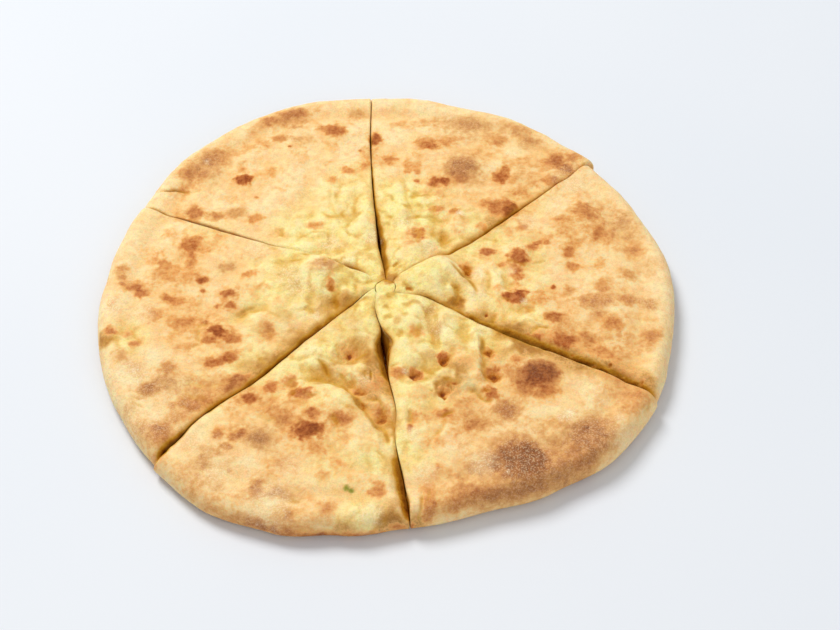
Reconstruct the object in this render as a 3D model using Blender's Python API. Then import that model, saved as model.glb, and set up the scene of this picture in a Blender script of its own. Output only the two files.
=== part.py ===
"""A round flat bread filled with cheese, cut into six slices that still lie together.

Each slice is dough folded round a layer of cheese: a top crust, a floor, the rolled rim that
joins them and a solid tip. It is open along both cut sides, where the cheese shows. Metres, +Z
up. The origin is on the surface the bread lies on, under the middle of its outline.
"""

import math

import bmesh
import bpy
from mathutils import Vector, noise

COLLECTION_NAME = "cheese_flatbread"

# Thickness of the bread, from the surface it lies on.
MIDDLE_HEIGHT = 0.0162
SHOULDER_HEIGHT = 0.0140
SHOULDER_SHARE = 0.80           # share of the outline's radius where the shoulder is reached
GROOVE_DEPTH = 0.0012           # dip just inside the rolled rim
GROOVE_SHARE = 0.885
GROOVE_WIDTH_SHARE = 0.035
SWELL_HEIGHT = 0.0008           # slow rise and fall of the hand-pressed top
SWELL_LENGTH = 0.034

# The rolled rim, an arc above and below its widest line.
RIM_REACH = 0.0070              # from the top's edge out to the widest line
RIM_TUCK = 0.0050               # from the widest line back to the edge of the flat underside
RIM_WIDEST_HEIGHT = 0.0055
RIM_ANGLES = (62, 34, 8, -26, -90)      # of the arc's rows, in degrees above its widest line

# Dough and cheese layers.
CRUST_THICKNESS = 0.0028
FLOOR_THICKNESS = 0.0030
LAYER_GAP = 0.0004
CHEESE_RIM_INSET = 0.0135       # the cheese stops this far inside the outline
CHEESE_RECESS = 0.0005          # and this far inside the cut sides
CHEESE_TIP_SHARE = 0.03         # and starts this share of the way out from the tip
POCKET_OVERRUN = 0.0018         # the pocket's cutter passes the cheese's sides by this much
CRUST_SEARCH_REACH = 0.0040     # the cheese keeps below the lowest crust this near
CRUST_SEARCH_DIRECTIONS = 8
EDGE_SEARCH_REACH = 0.0020      # and below a cut edge's rounding this near
MINIMUM_CHEESE = 0.0030

# Cut edges.
CUT_GAP = 0.0004
EDGE_ROUND = 0.0025

# Relief and cuts are placed from the hub, near where the cuts meet.
HUB = Vector((-0.0003, -0.0052))
TIP_MIDDLE = Vector((-0.0008, 0.0014))
TIP_RING_RADIUS = 0.0052        # five tips end on this ring
TIP_DISC_RADIUS = 0.0042        # and the sixth slice's tip fills it

# Resolution of the faceted solids.
COLUMNS = 18
ROWS = 22
ROW_CROWDING = 1.2              # above 1 the rows crowd towards the tip
CHEESE_COLUMNS = 8
CHEESE_ROWS = 12
CURVE_STEP = 0.0005
DISC_ROWS = 4                   # rows round the tip disc
DISC_ARC_STEPS = 16

DOUGH_COLOUR = (0.86, 0.62, 0.36, 1.0)
DOUGH_ROUGHNESS = 0.75
CHEESE_COLOUR = (0.88, 0.76, 0.40, 1.0)
CHEESE_ROUGHNESS = 0.5

# Each cut runs from the tip ring out to the rim. "opening" lists (distance along, half width,
# reach) of the places where the two slices have parted.
CUTS = {
    "ab": {
        "ring_angle": 88,
        "points": ((-0.0025, 0.020), (-0.0046, 0.035), (-0.0080, 0.070), (-0.0100, 0.108),
                   (-0.0100, 0.144)),
        "opening": ((0.028, 0.0012, 0.016), (0.095, 0.0006, 0.012)),
    },
    "bc": {
        "ring_angle": 45,
        "points": ((0.0070, 0.0135), (0.020, 0.0215), (0.045, 0.0380), (0.080, 0.0700),
                   (0.104, 0.0925)),
        "opening": (),
    },
    "cd": {
        "ring_angle": -35,
        "points": ((0.010, -0.0025), (0.020, -0.0050), (0.050, -0.0215), (0.100, -0.0475),
                   (0.134, -0.0640)),
        "opening": ((0.062, 0.0006, 0.020), (0.105, 0.0009, 0.020)),
    },
    "de": {
        "ring_angle": 212,
        "points": ((-0.0056, -0.012), (-0.0020, -0.032), (0.0002, -0.052), (0.0052, -0.071),
                   (0.0048, -0.088), (0.0090, -0.110), (0.0135, -0.136)),
        "opening": ((0.033, 0.0026, 0.013), (0.104, 0.0016, 0.014)),
    },
    "ef": {
        "ring_angle": 178,
        "points": ((-0.0115, -0.0020), (-0.0200, -0.0105), (-0.0400, -0.0305),
                   (-0.0800, -0.0675), (-0.1080, -0.1040)),
        "opening": ((0.050, 0.0008, 0.030), (0.110, 0.0010, 0.024)),
    },
    "fa": {
        "ring_angle": 140,
        "points": ((-0.0100, 0.0110), (-0.0220, 0.0170), (-0.0440, 0.0265), (-0.0900, 0.0450),
                   (-0.1240, 0.0600)),
        "opening": (),
    },
}

# The slices, counter-clockwise from the back left. "cuts" names the cut on the clockwise side
# first. "rim" lists the outline's radius at even stations from the first cut to the second.
# "lift" raises the slice's whole top. "bumps" are (x, y, radius, height) and "folds" are
# (points, half width, height); a negative height is a hollow or a crease.
SLICES = (
    {
        "name": "slice_1",
        "cuts": ("ab", "fa"),
        "rim": (0.1380, 0.1408, 0.1417, 0.1403, 0.1372),
        "lift": 0.0,
        "bumps": ((-0.095, 0.087, 0.012, 0.0014), (-0.074, 0.077, 0.006, 0.0012),
                  (-0.028, 0.113, 0.009, 0.0012), (-0.026, 0.031, 0.010, -0.0012),
                  (-0.012, 0.042, 0.010, 0.0010), (-0.052, 0.124, 0.010, 0.0010)),
        "folds": ((((-0.042, 0.088), (-0.042, 0.066)), 0.004, -0.0008),),
    },
    {
        "name": "slice_6",
        "cuts": ("fa", "ef"),
        "rim": (0.1380, 0.1384, 0.1411, 0.1428, 0.1448),
        "lift": 0.0,
        "bumps": ((-0.032, 0.012, 0.014, 0.0030), (-0.055, -0.025, 0.007, -0.0016),
                  (-0.080, -0.024, 0.008, 0.0012), (-0.050, 0.012, 0.007, -0.0012),
                  (-0.098, 0.033, 0.008, 0.0010), (-0.066, 0.002, 0.009, 0.0010)),
        "folds": ((((-0.074, -0.016), (-0.060, -0.009)), 0.004, -0.0014),
                  (((-0.021, 0.004), (-0.026, -0.008)), 0.004, -0.0016)),
    },
    {
        "name": "slice_5",
        "cuts": ("ef", "de"),
        "rim": (0.1465, 0.1482, 0.1448, 0.1385, 0.1338),
        "lift": -0.0006,
        "bumps": ((-0.017, -0.036, 0.008, -0.0026), (-0.034, -0.084, 0.008, 0.0012),
                  (-0.026, -0.068, 0.010, 0.0012), (-0.057, -0.113, 0.009, 0.0010),
                  (-0.010, -0.022, 0.007, 0.0008), (-0.006, -0.082, 0.006, -0.0010)),
        "folds": ((((-0.038, -0.046), (-0.028, -0.052), (-0.018, -0.056)), 0.004, -0.0018),
                  (((-0.016, -0.058), (0.000, -0.078)), 0.004, -0.0016),
                  (((-0.012, -0.048), (0.000, -0.066)), 0.004, 0.0014)),
    },
    {
        "name": "slice_4",
        "cuts": ("de", "cd"),
        "rim": (0.1334, 0.1324, 0.1370, 0.1420, 0.1423),
        "lift": 0.0010,
        "bumps": ((-0.0005, 0.002, 0.005, 0.0012), (0.072, -0.051, 0.011, 0.0018),
                  (0.062, -0.098, 0.013, 0.0016), (0.093, -0.082, 0.013, 0.0014),
                  (0.027, -0.042, 0.005, -0.0022), (0.028, -0.060, 0.006, -0.0020),
                  (0.013, -0.050, 0.005, -0.0016), (0.049, -0.050, 0.006, -0.0018),
                  (0.012, -0.022, 0.009, 0.0010)),
        "folds": ((((0.021, -0.014), (0.024, -0.034)), 0.004, -0.0018),
                  (((0.028, -0.018), (0.030, -0.032)), 0.004, 0.0014),
                  (((0.042, -0.028), (0.043, -0.052)), 0.004, 0.0018),
                  (((0.033, -0.056), (0.044, -0.055), (0.052, -0.066)), 0.004, 0.0014)),
    },
    {
        "name": "slice_3",
        "cuts": ("cd", "bc"),
        "rim": (0.1415, 0.1391, 0.1399, 0.1362, 0.1347),
        "lift": 0.0003,
        "bumps": ((0.019, 0.012, 0.013, 0.0026), (0.034, -0.001, 0.007, -0.0028),
                  (0.024, -0.001, 0.006, 0.0016), (0.062, 0.000, 0.008, 0.0010),
                  (0.064, 0.022, 0.007, 0.0010), (0.100, 0.052, 0.010, 0.0012),
                  (0.052, -0.016, 0.008, -0.0010), (0.100, -0.008, 0.013, 0.0010)),
        "folds": ((((0.024, 0.020), (0.036, 0.011), (0.043, -0.001)), 0.005, 0.0018),
                  (((0.032, 0.024), (0.040, 0.014), (0.049, 0.002)), 0.004, -0.0016)),
    },
    {
        "name": "slice_2",
        "cuts": ("bc", "ab"),
        "rim": (0.1385, 0.1370, 0.1383, 0.1355, 0.1382, 0.1382),
        "lift": -0.0004,
        "bumps": ((0.038, 0.087, 0.011, 0.0014), (0.057, 0.056, 0.010, 0.0014),
                  (0.004, 0.012, 0.008, -0.0016), (0.024, 0.075, 0.007, 0.0010),
                  (0.014, 0.028, 0.008, 0.0012), (0.042, 0.118, 0.012, 0.0012)),
        "folds": ((((0.028, 0.033), (0.026, 0.046)), 0.005, -0.0016),),
    },
)
DISC_SLICE = "slice_4"          # the slice whose tip fills the middle
DISC_SHOULDER_ANGLES = {"de": 150, "cd": 30}


# --- plan curves --------------------------------------------------------------------------

def ring_point(angle_deg, radius):
    """A point of the circle on which the slices' tips meet."""
    angle = math.radians(angle_deg)
    return HUB + TIP_MIDDLE + radius * Vector((math.cos(angle), math.sin(angle)))


def smooth_curve(points):
    """Points about CURVE_STEP apart on a Catmull-Rom curve through the given ones."""
    padded = [2 * points[0] - points[1], *points, 2 * points[-1] - points[-2]]
    result = []
    for a, b, c, d in zip(padded, padded[1:], padded[2:], padded[3:]):
        steps = max(2, int((c - b).length / CURVE_STEP))
        for k in range(steps):
            s = k / steps
            result.append(0.5 * (2 * b + (c - a) * s + (2 * a - 5 * b + 4 * c - d) * s * s
                                 + (3 * b - a - 3 * c + d) * s ** 3))
    result.append(points[-1])
    return result


def at_share(curve, share):
    """The point of a sampled curve at this share of its length, by its sample index."""
    place = max(0.0, min(1.0, share)) * (len(curve) - 1)
    index = min(int(place), len(curve) - 2)
    return curve[index].lerp(curve[index + 1], place - index)


def half_opening(cut, distance):
    """Half the width of the gap along a cut, at a distance from the ring."""
    width = CUT_GAP / 2
    for middle, half_width, reach in cut["opening"]:
        width += half_width * math.exp(-((distance - middle) / reach) ** 2)
    return width


def slice_edge(cut_name, side, inset, rim_limit):
    """One side of a slice in plan, from the tip ring to rim_limit from the origin.

    side is +1 where the slice lies to the left of the cut's outward run and -1 to its right.
    """
    cut = CUTS[cut_name]
    start = ring_point(cut["ring_angle"], TIP_RING_RADIUS)
    curve = smooth_curve([start] + [HUB + Vector(point) for point in cut["points"]])
    edge = []
    distance = 0.0
    for before, here, after in zip([2 * curve[0] - curve[1]] + curve, curve, curve[1:]):
        distance += (here - before).length
        along = (after - before).normalized()
        across = Vector((-along.y, along.x)) * side
        edge.append(here + across * (half_opening(cut, distance) + inset))
        if here.length > rim_limit:
            break
    return edge


def disc_side(cut_name, edge_start):
    """The side of the tip disc, from its shoulder round to where the slice's cut edge starts."""
    shoulder = DISC_SHOULDER_ANGLES[cut_name]
    turn = CUTS[cut_name]["ring_angle"] - shoulder
    shares = [k / DISC_ARC_STEPS for k in range(DISC_ARC_STEPS)]
    return [ring_point(shoulder + turn * s, TIP_DISC_RADIUS) for s in shares] + [edge_start]


def rim_radius(piece, share):
    """The outline's radius at a share of the way from the slice's first cut to its second."""
    stations = piece["rim"]
    place = share * (len(stations) - 1)
    index = min(int(place), len(stations) - 2)
    s = place - index
    s = s * s * (3 - 2 * s)
    return stations[index] * (1 - s) + stations[index + 1] * s


def tip_curve(has_disc, first, second, inset):
    """The slice's tip in plan, an arc between the first points of its two sides."""
    middle = HUB + TIP_MIDDLE
    if has_disc:
        crown = middle + Vector((0, TIP_DISC_RADIUS - inset))
    else:
        outward = ((first + second) / 2 - middle).normalized()
        crown = middle + outward * (TIP_RING_RADIUS + inset)
    return smooth_curve([first, crown, second])


class Patch:
    """The plan of one slice: maps (across, along) in 0..1 to a point, as a Coons patch."""

    def __init__(self, piece, inset, rim_inset, has_disc=False):
        first_cut, second_cut = piece["cuts"]
        stations = piece["rim"]
        self.piece = piece
        self.rim_inset = rim_inset
        self.first = slice_edge(first_cut, 1, inset, stations[0] - rim_inset)
        self.second = slice_edge(second_cut, -1, inset, stations[-1] - rim_inset)
        self.knee = 0.0
        if has_disc:
            self.knee = (DISC_ROWS / ROWS) ** ROW_CROWDING
            self.first_lead = disc_side(first_cut, self.first[0])
            self.second_lead = disc_side(second_cut, self.second[0])
        self.tip = tip_curve(has_disc, self.first_side(0), self.second_side(0), inset)
        self.first_angle = math.atan2(self.first[-1].y, self.first[-1].x)
        turn = math.atan2(self.second[-1].y, self.second[-1].x) - self.first_angle
        self.turn = turn % math.tau

    def first_side(self, along):
        if along < self.knee:
            return at_share(self.first_lead, along / self.knee)
        return at_share(self.first, (along - self.knee) / (1 - self.knee))

    def second_side(self, along):
        if along < self.knee:
            return at_share(self.second_lead, along / self.knee)
        return at_share(self.second, (along - self.knee) / (1 - self.knee))

    def rim(self, across):
        """The patch's outer edge, rim_inset inside the outline."""
        angle = self.first_angle + self.turn * across
        radius = rim_radius(self.piece, across) - self.rim_inset
        return radius * Vector((math.cos(angle), math.sin(angle)))

    def width(self, along):
        return (self.first_side(along) - self.second_side(along)).length

    def point(self, across, along):
        sides = self.first_side(along).lerp(self.second_side(along), across)
        ends = at_share(self.tip, across).lerp(self.rim(across), along)
        near = self.first_side(0).lerp(self.second_side(0), across)
        far = self.rim(0).lerp(self.rim(1), across)
        return sides + ends - near.lerp(far, along)


# --- heights ------------------------------------------------------------------------------

def distance_to_path(place, points):
    """Distance from a place in plan to a path of straight runs."""
    best = math.inf
    for start, end in zip(points, points[1:]):
        run = end - start
        share = max(0.0, min(1.0, (place - start).dot(run) / run.length_squared))
        best = min(best, (place - start - run * share).length)
    return best


def smoothstep(share):
    share = max(0.0, min(1.0, share))
    return share * share * (3 - 2 * share)


def top_height(piece, place, outline_radius):
    """Height of a slice's top over a place in plan, before its cut edges are rounded."""
    share = place.length / outline_radius
    height = MIDDLE_HEIGHT + (SHOULDER_HEIGHT - MIDDLE_HEIGHT) * smoothstep(share / SHOULDER_SHARE)
    height -= GROOVE_DEPTH * math.exp(-((share - GROOVE_SHARE) / GROOVE_WIDTH_SHARE) ** 2)
    height += SWELL_HEIGHT * noise.noise(Vector((place.x, place.y, 0)) / SWELL_LENGTH)
    height += piece["lift"]
    for x, y, radius, rise in piece["bumps"]:
        away = (place - HUB - Vector((x, y))).length / radius
        height += rise * math.exp(-away * away)
    for points, half_width, rise in piece["folds"]:
        path = [HUB + Vector(point) for point in points]
        away = distance_to_path(place, path) / half_width
        height += rise * math.exp(-away * away)
    return height


def edge_drop(distance):
    """How far a cut edge's rounding lowers the top, at a distance inside the cut."""
    away = max(0.0, min(1.0, distance / EDGE_ROUND))
    return EDGE_ROUND * (1 - math.sqrt(1 - (1 - away) ** 2))


def lowest_top(piece, place, outline_radius, distance):
    """The lowest crust near a place."""
    lowest = top_height(piece, place, outline_radius)
    for k in range(CRUST_SEARCH_DIRECTIONS):
        turn = k * math.tau / CRUST_SEARCH_DIRECTIONS
        step = CRUST_SEARCH_REACH * Vector((math.cos(turn), math.sin(turn)))
        lowest = min(lowest, top_height(piece, place + step, outline_radius))
    return lowest - edge_drop(distance - EDGE_SEARCH_REACH)


# --- solids -------------------------------------------------------------------------------

def grid_rows(bm, columns, rows):
    """Make a grid in bm and return its vertices as rows[along][across]."""
    bmesh.ops.create_grid(bm, x_segments=columns, y_segments=rows, size=0.5)
    ordered = sorted(bm.verts, key=lambda v: (round((v.co.y + 0.5) * rows), v.co.x))
    return [ordered[k:k + columns + 1] for k in range(0, len(ordered), columns + 1)]


def across_share(column, columns, width):
    """Where a column lies: the outer ones hug the cut edges, the rest are even."""
    hug = min(EDGE_ROUND / width, 1 / columns)
    if column == 0:
        return 0.0
    if column == columns:
        return 1.0
    return hug + (1 - 2 * hug) * (column - 1) / (columns - 2)


def shape_top_row(piece, patch, row, along):
    """Set one row of a slice's top; along is its share of the way to the rim."""
    columns = len(row) - 1
    width = patch.width(along)
    tip_distance = (patch.point(0.5, along) - patch.point(0.5, 0)).length
    for column, vert in enumerate(row):
        across = across_share(column, columns, width)
        place = patch.point(across, along)
        side_distance = min(across, 1 - across) * width
        drop = edge_drop(min(side_distance, tip_distance))
        height = top_height(piece, place, rim_radius(piece, across)) - drop
        vert.co = (place.x, place.y, height)


def shape_rim_row(row, edge_row, angle_deg):
    """Set one row of the rolled rim at an angle of its arc, from the top's last row."""
    angle = math.radians(angle_deg)
    for vert, edge_vert in zip(row, edge_row):
        outward = Vector((edge_vert.co.x, edge_vert.co.y)).normalized()
        if angle_deg >= 0:
            reach = RIM_REACH * math.cos(angle)
            height = RIM_WIDEST_HEIGHT + (edge_vert.co.z - RIM_WIDEST_HEIGHT) * math.sin(angle)
        else:
            reach = RIM_REACH - RIM_TUCK * (1 - math.cos(angle))
            height = RIM_WIDEST_HEIGHT * (1 + math.sin(angle))
        vert.co = (edge_vert.co.x + outward.x * reach, edge_vert.co.y + outward.y * reach, height)


def close_below(bm, rows, floor_height, top_rows):
    """Drop walls from the sides and the tip to floor_height, then cap the rim's two ends and
    the underside. Rows past top_rows are the rolled rim, whose last row is on the floor."""
    floor = {}

    def below(vert):
        if vert not in floor:
            floor[vert] = bm.verts.new((vert.co.x, vert.co.y, floor_height))
        return floor[vert]

    first_side = [row[0] for row in rows[:top_rows]]
    second_side = [row[-1] for row in rows[:top_rows]]
    wall_tops = list(reversed(second_side)) + list(reversed(rows[0][1:-1])) + first_side
    for a, b in zip(wall_tops, wall_tops[1:]):
        bm.faces.new((a, b, below(b), below(a)))
    rim_rows = rows[top_rows:]
    underside = [below(vert) for vert in wall_tops]
    if rim_rows:
        first_end = [first_side[-1]] + [row[0] for row in rim_rows]
        second_end = [second_side[-1]] + [row[-1] for row in rim_rows]
        bm.faces.new(first_end + [below(first_side[-1])])
        bm.faces.new(list(reversed(second_end)) + [below(second_side[-1])])
        underside += list(rim_rows[-1])
    else:
        outer = rows[-1]
        for a, b in zip(outer, outer[1:]):
            bm.faces.new((a, b, below(b), below(a)))
        underside += [below(vert) for vert in outer[1:-1]]
    bm.faces.new(underside)
    bmesh.ops.recalc_face_normals(bm, faces=bm.faces)


def make_material(name, colour, roughness):
    material = bpy.data.materials.new(name)
    material.use_nodes = True
    shader = material.node_tree.nodes["Principled BSDF"]
    shader.inputs["Base Color"].default_value = colour
    shader.inputs["Roughness"].default_value = roughness
    material.diffuse_color = colour
    return material


def make_object(bm, name, collection):
    mesh = bpy.data.meshes.new(name)
    bm.to_mesh(mesh)
    bm.free()
    piece_object = bpy.data.objects.new(name, mesh)
    collection.objects.link(piece_object)
    return piece_object


def build_wedge(piece, collection):
    """One whole slice, without its pocket."""
    bm = bmesh.new()
    rows = grid_rows(bm, COLUMNS, ROWS + len(RIM_ANGLES))
    patch = Patch(piece, 0.0, RIM_REACH, piece["name"] == DISC_SLICE)
    for k, row in enumerate(rows[:ROWS + 1]):
        shape_top_row(piece, patch, row, (k / ROWS) ** ROW_CROWDING)
    for row, angle in zip(rows[ROWS + 1:], RIM_ANGLES):
        shape_rim_row(row, rows[ROWS], angle)
    close_below(bm, rows, 0.0, ROWS + 1)
    return make_object(bm, piece["name"] + "_dough", collection)


def cheese_point(piece, patch, column, k):
    """A point of the cheese's upper face, by its column and row."""
    along = CHEESE_TIP_SHARE + (1 - CHEESE_TIP_SHARE) * (k / CHEESE_ROWS) ** ROW_CROWDING
    width = patch.width(along)
    across = across_share(column, CHEESE_COLUMNS, width)
    place = patch.point(across, along)
    side_distance = min(across, 1 - across) * width
    top = lowest_top(piece, place, rim_radius(piece, across), side_distance) - CRUST_THICKNESS
    return Vector((place.x, place.y, max(top, FLOOR_THICKNESS + MINIMUM_CHEESE)))


def build_cheese(piece, collection):
    """The cheese layer of a slice."""
    bm = bmesh.new()
    rows = grid_rows(bm, CHEESE_COLUMNS, CHEESE_ROWS)
    patch = Patch(piece, CHEESE_RECESS, CHEESE_RIM_INSET)
    for k, row in enumerate(rows):
        for column, vert in enumerate(row):
            vert.co = cheese_point(piece, patch, column, k)
    bmesh.ops.triangulate(bm, faces=bm.faces, quad_method="FIXED")
    close_below(bm, rows, FLOOR_THICKNESS, CHEESE_ROWS + 1)
    return make_object(bm, piece["name"] + "_cheese", collection)


def flat_direction(start, end):
    run = end - start
    return Vector((run.x, run.y, 0)).normalized()


def build_pocket_cutter(piece, collection):
    """The cheese's own faces at LAYER_GAP, with a border that runs out past the cut sides."""
    bm = bmesh.new()
    rows = grid_rows(bm, CHEESE_COLUMNS + 2, CHEESE_ROWS + 2)
    patch = Patch(piece, CHEESE_RECESS, CHEESE_RIM_INSET)
    last_column = CHEESE_COLUMNS + 1
    last_row = CHEESE_ROWS + 1
    for k, row in enumerate(rows):
        for column, vert in enumerate(row):
            inner_column = min(max(column, 1), last_column) - 1
            inner_row = min(max(k, 1), last_row) - 1
            vert.co = cheese_point(piece, patch, inner_column, inner_row)
    middle = last_column // 2
    tip_direction = flat_direction(rows[2][middle].co, rows[1][middle].co)
    for row in rows:
        row[0].co += flat_direction(row[2].co, row[1].co) * POCKET_OVERRUN
        row[-1].co += flat_direction(row[-3].co, row[-2].co) * POCKET_OVERRUN
    for vert in rows[0]:
        vert.co += tip_direction * LAYER_GAP
    for vert in rows[-1]:
        vert.co += flat_direction(Vector((0, 0, 0)), vert.co) * LAYER_GAP
    for vert in bm.verts:
        vert.co.z += LAYER_GAP
    bmesh.ops.triangulate(bm, faces=bm.faces, quad_method="FIXED")
    close_below(bm, rows, FLOOR_THICKNESS - LAYER_GAP, last_row + 2)
    return make_object(bm, piece["name"] + "_pocket", collection)


def cut_pocket(dough, cutter):
    modifier = dough.modifiers.new("pocket", "BOOLEAN")
    modifier.operation = "DIFFERENCE"
    modifier.solver = "EXACT"
    modifier.object = cutter
    cutter.hide_render = True
    cutter.display_type = "WIRE"


def new_collection(name):
    collection = bpy.data.collections.new(name)
    bpy.context.scene.collection.children.link(collection)
    return collection


def main():
    for old in list(bpy.data.objects):
        bpy.data.objects.remove(old)
    parts = new_collection(COLLECTION_NAME)
    cutters = new_collection("pocket_cutters")
    for piece in SLICES:
        dough = build_wedge(piece, parts)
        dough.data.materials.append(make_material(dough.name, DOUGH_COLOUR, DOUGH_ROUGHNESS))
        cheese = build_cheese(piece, parts)
        cheese.data.materials.append(make_material(cheese.name, CHEESE_COLOUR, CHEESE_ROUGHNESS))
        cut_pocket(dough, build_pocket_cutter(piece, cutters))


main()
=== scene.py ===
"""The looks of a round, cheese-filled flatbread in six slices: its crust, blisters and cut sides.

Everything is in metres in the row's frame. Places on the bread are given from the hub, near
where the cuts meet, and those in the tables are in millimetres.
"""

import math

import bpy
import numpy as np
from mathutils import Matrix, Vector, noise


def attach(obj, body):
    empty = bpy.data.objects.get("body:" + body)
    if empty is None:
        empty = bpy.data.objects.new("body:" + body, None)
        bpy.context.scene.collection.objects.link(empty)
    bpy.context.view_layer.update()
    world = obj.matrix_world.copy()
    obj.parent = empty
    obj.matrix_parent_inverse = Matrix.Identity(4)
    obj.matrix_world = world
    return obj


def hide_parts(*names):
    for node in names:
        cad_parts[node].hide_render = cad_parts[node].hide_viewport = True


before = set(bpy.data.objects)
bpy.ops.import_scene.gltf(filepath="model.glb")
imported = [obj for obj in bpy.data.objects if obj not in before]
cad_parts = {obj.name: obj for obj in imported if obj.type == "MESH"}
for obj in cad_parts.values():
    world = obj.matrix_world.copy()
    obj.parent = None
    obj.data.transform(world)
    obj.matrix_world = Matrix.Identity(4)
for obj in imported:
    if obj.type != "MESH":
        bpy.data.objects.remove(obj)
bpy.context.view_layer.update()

MM = 0.001

# --- sizes as in the solids ------------------------------------------------------------------
HUB = np.array((-0.0003, -0.0052))
MIDDLE_HEIGHT = 0.0162
SHOULDER_HEIGHT = 0.0140
SHOULDER_SHARE = 0.80           # of the way from the middle to the outline
GROOVE_DEPTH = 0.0012
GROOVE_SHARE = 0.885
GROOVE_WIDTH_SHARE = 0.035
SWELL_HEIGHT = 0.0008
SWELL_LENGTH = 0.034
RIM_REACH = 0.0070
RIM_TUCK = 0.0050
RIM_WIDEST_HEIGHT = 0.0055
CRUST_THICKNESS = 0.0028
FLOOR_THICKNESS = 0.0030
LAYER_GAP = 0.0004
CHEESE_RIM_INSET = 0.0135
CHEESE_TIP_SHARE = 0.03
TIP_MIDDLE = np.array((-0.0008, 0.0014))
TIP_RING_RADIUS = 0.0052
DISC_SHOULDER_ANGLES = {"de": 150, "cd": 30}
DISC_ARC_STEPS = 16

# --- sizes of the looks alone ----------------------------------------------------------------
SEAM_GAP = 0.00006              # between slices where their skins touch
TIP_DISC_RADIUS = 0.0048
TIP_ROUNDING = (0.0010, 0.00008)    # reach and drop of the tip's edge
TIP_CALM_REACH = 0.003          # the relief is weaker this close to the tip
HUB_LIFT = 0.0008               # of all slices where they meet
HUB_REACH = 0.011
HUB_BUMP = (-0.5, 2, 5, 1.0)
EDGE_RAGGED = 0.22              # how much a cut edge's rounding varies along it
EDGE_WAVE = 0.006
STEEP_FALL = (0.0013, 0.0028)   # drops of a cut edge from gentle to steep
STEEP_REACH = 0.0052
SEAM_REACH = 0.0020             # of the painted shade beside a cut
SEAM_FALL = (0.0001, 0.0010)    # drops of the edge from no painted shade to all of it
SEAM_START = (0.002, 0.012)     # distances along the cut, likewise
LIP_REACH = 0.0022              # of the painted highlight beside a gentle edge
UNDERSIDE_HEIGHT = 0.004        # up to where the underside's colour climbs the rim

CRUMB_DEPTH = 0.00040           # relief of the cut sides: crumb and baked layers
CRUMB_LENGTH = 0.0026
LAYER_DEPTH = 0.00025
LAYER_LENGTH = 0.011
LAYER_HEIGHT = 0.0011
STAY_CLEAR = 0.00002            # how far this relief stays behind the plan edge
CLOSING_START = 0.0008          # depth under the edge where a gap's sides start to meet
SKIN_DEPTH = 0.003              # over which the skin's colours fade on a cut side
CRUMB_FULL = 0.0035             # depths where the crumb's colour and painted shade are full
CAP_CRUMB_FULL = 0.0045
CAP_BROWN = 0.35                # of the rim's ends, at their outer edge
DEEP = (0.002, 0.007)           # depths over which painted shade darkens a cut side
THINNEST_EDGE = 0.0014          # of the crust over the filling at a cut side
THINNEST_FILLING = 0.001        # at a cut side
MIDDLE_FILLING = 0.0016         # the least inside
OPENING_CLEARANCE = 0.0008      # between filling and crust at a cut side
CEILING_CLEARANCE = 0.0006      # and inside
FILLING_GAP = 0.00028           # between the filling and the hollow round it
FILLING_INSET = 0.0008          # how far the filling's top edge follows the ceiling's fall
FILLING_DEPTH = 0.00045         # of its sides behind the hollow's opening
FILLING_LUMPS = 0.00035
LUMP_LENGTH = 0.0042
NARROW_SHARE = 0.2              # of the slice's width, the most for both insets

# --- resolution of the fine skin -------------------------------------------------------------
ROWS = 242                      # a multiple of 22, so that one row lies on the knee
ROW_CROWDING = 1.2              # how rows crowd to the tip
KNEE = (4 / 22) ** ROW_CROWDING     # share of the way out where the disc's side ends
COLUMN_SPACING = 0.00068        # at the rim
EDGE_CROWDING = 0.45            # how far columns crowd to the cut edges
CURVE_STEP = 0.0005
RIM_ROWS = 20
RIM_FADE_ROWS = 8               # over which the top's hollows and crests fade on the rim
WALL_ROWS = RIM_ROWS
WALL_FADE_ROWS = 3              # over which a cut side's relief starts under the edge
WALL_FADE_RUN = 0.004           # and from the tip
OPENING_TOP_ROW = 6             # of the wall's rows, where the cheese begins
OPENING_BOTTOM_ROW = 13
CAP_COLUMNS = 8
TUNNEL_COLUMNS = 10
CEILING_ROWS = 4                # the ceiling keeps below the skin of so many rows each way

# --- noise and relief ------------------------------------------------------------------------
WAVE_GAIN = 1.5                 # brings gradient noise to about -1..1
OCTAVE_SHIFT = (17.3, -9.1)     # between the octaves of a cloud
RIDGE_SHARPNESS = 1.6
RIDGE_SHRINK = 0.55             # of the length from octave to octave
PATCH_EDGE = (0.35, 1.25)       # shares of a round patch's radius where it fades
BLISTER_RISE = 0.055            # of a brown spot, as a share of its smaller radius
BLISTER_SHARE = 0.85
SPOT_BOX = 2.6                  # of a brown spot's radius, how far it is worked out
CORE_BROWN = 0.96               # the most that a spot's core and its halo brown
HALO_BROWN = 0.24
HALO_EDGE = (0.5, 2.3)          # shares of the radius where the halo fades
CREASE_SPREAD = 1.5             # what the drawn half widths and heights are multiplied by
CREASE_GAIN = 1.1
CREASE_FULL = 1.4               # depth of a crease whose painted shade is full, in millimetres
FLAP_FULL = 1.6                 # height of a flap whose groove's painted shade is full
FLAP_TAPER = 0.28               # share of a flap's length over which it rises
FLAP_LIP = (-1.0, 1.2)          # from the drawn path, where the skin steps up
GROOVE_PLACE = 1.3              # of the groove before a flap, its width and depth
GROOVE_WIDTH = 1.5
GROOVE_GAIN = 0.4
PIT_EDGE = (0.0, 1.25)          # shares of a pit's radius where it rises
WRINKLES = (0.0125, 2, 91)      # length, octaves, seed
WRINKLE_HEIGHT = 0.00035
PILLOWS = ((0.0150, 109, 1.0), (0.0075, 113, 0.3))      # length, seed, amount
PILLOW_SOFTNESS = 0.01
PILLOW_HEIGHT = 0.0012
OUTER_ROUGHNESS = 0.25          # of the wrinkles outside the yellow middle
EDGE_CALM = 0.6                 # how much of the relief is lost at a cut edge
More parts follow.
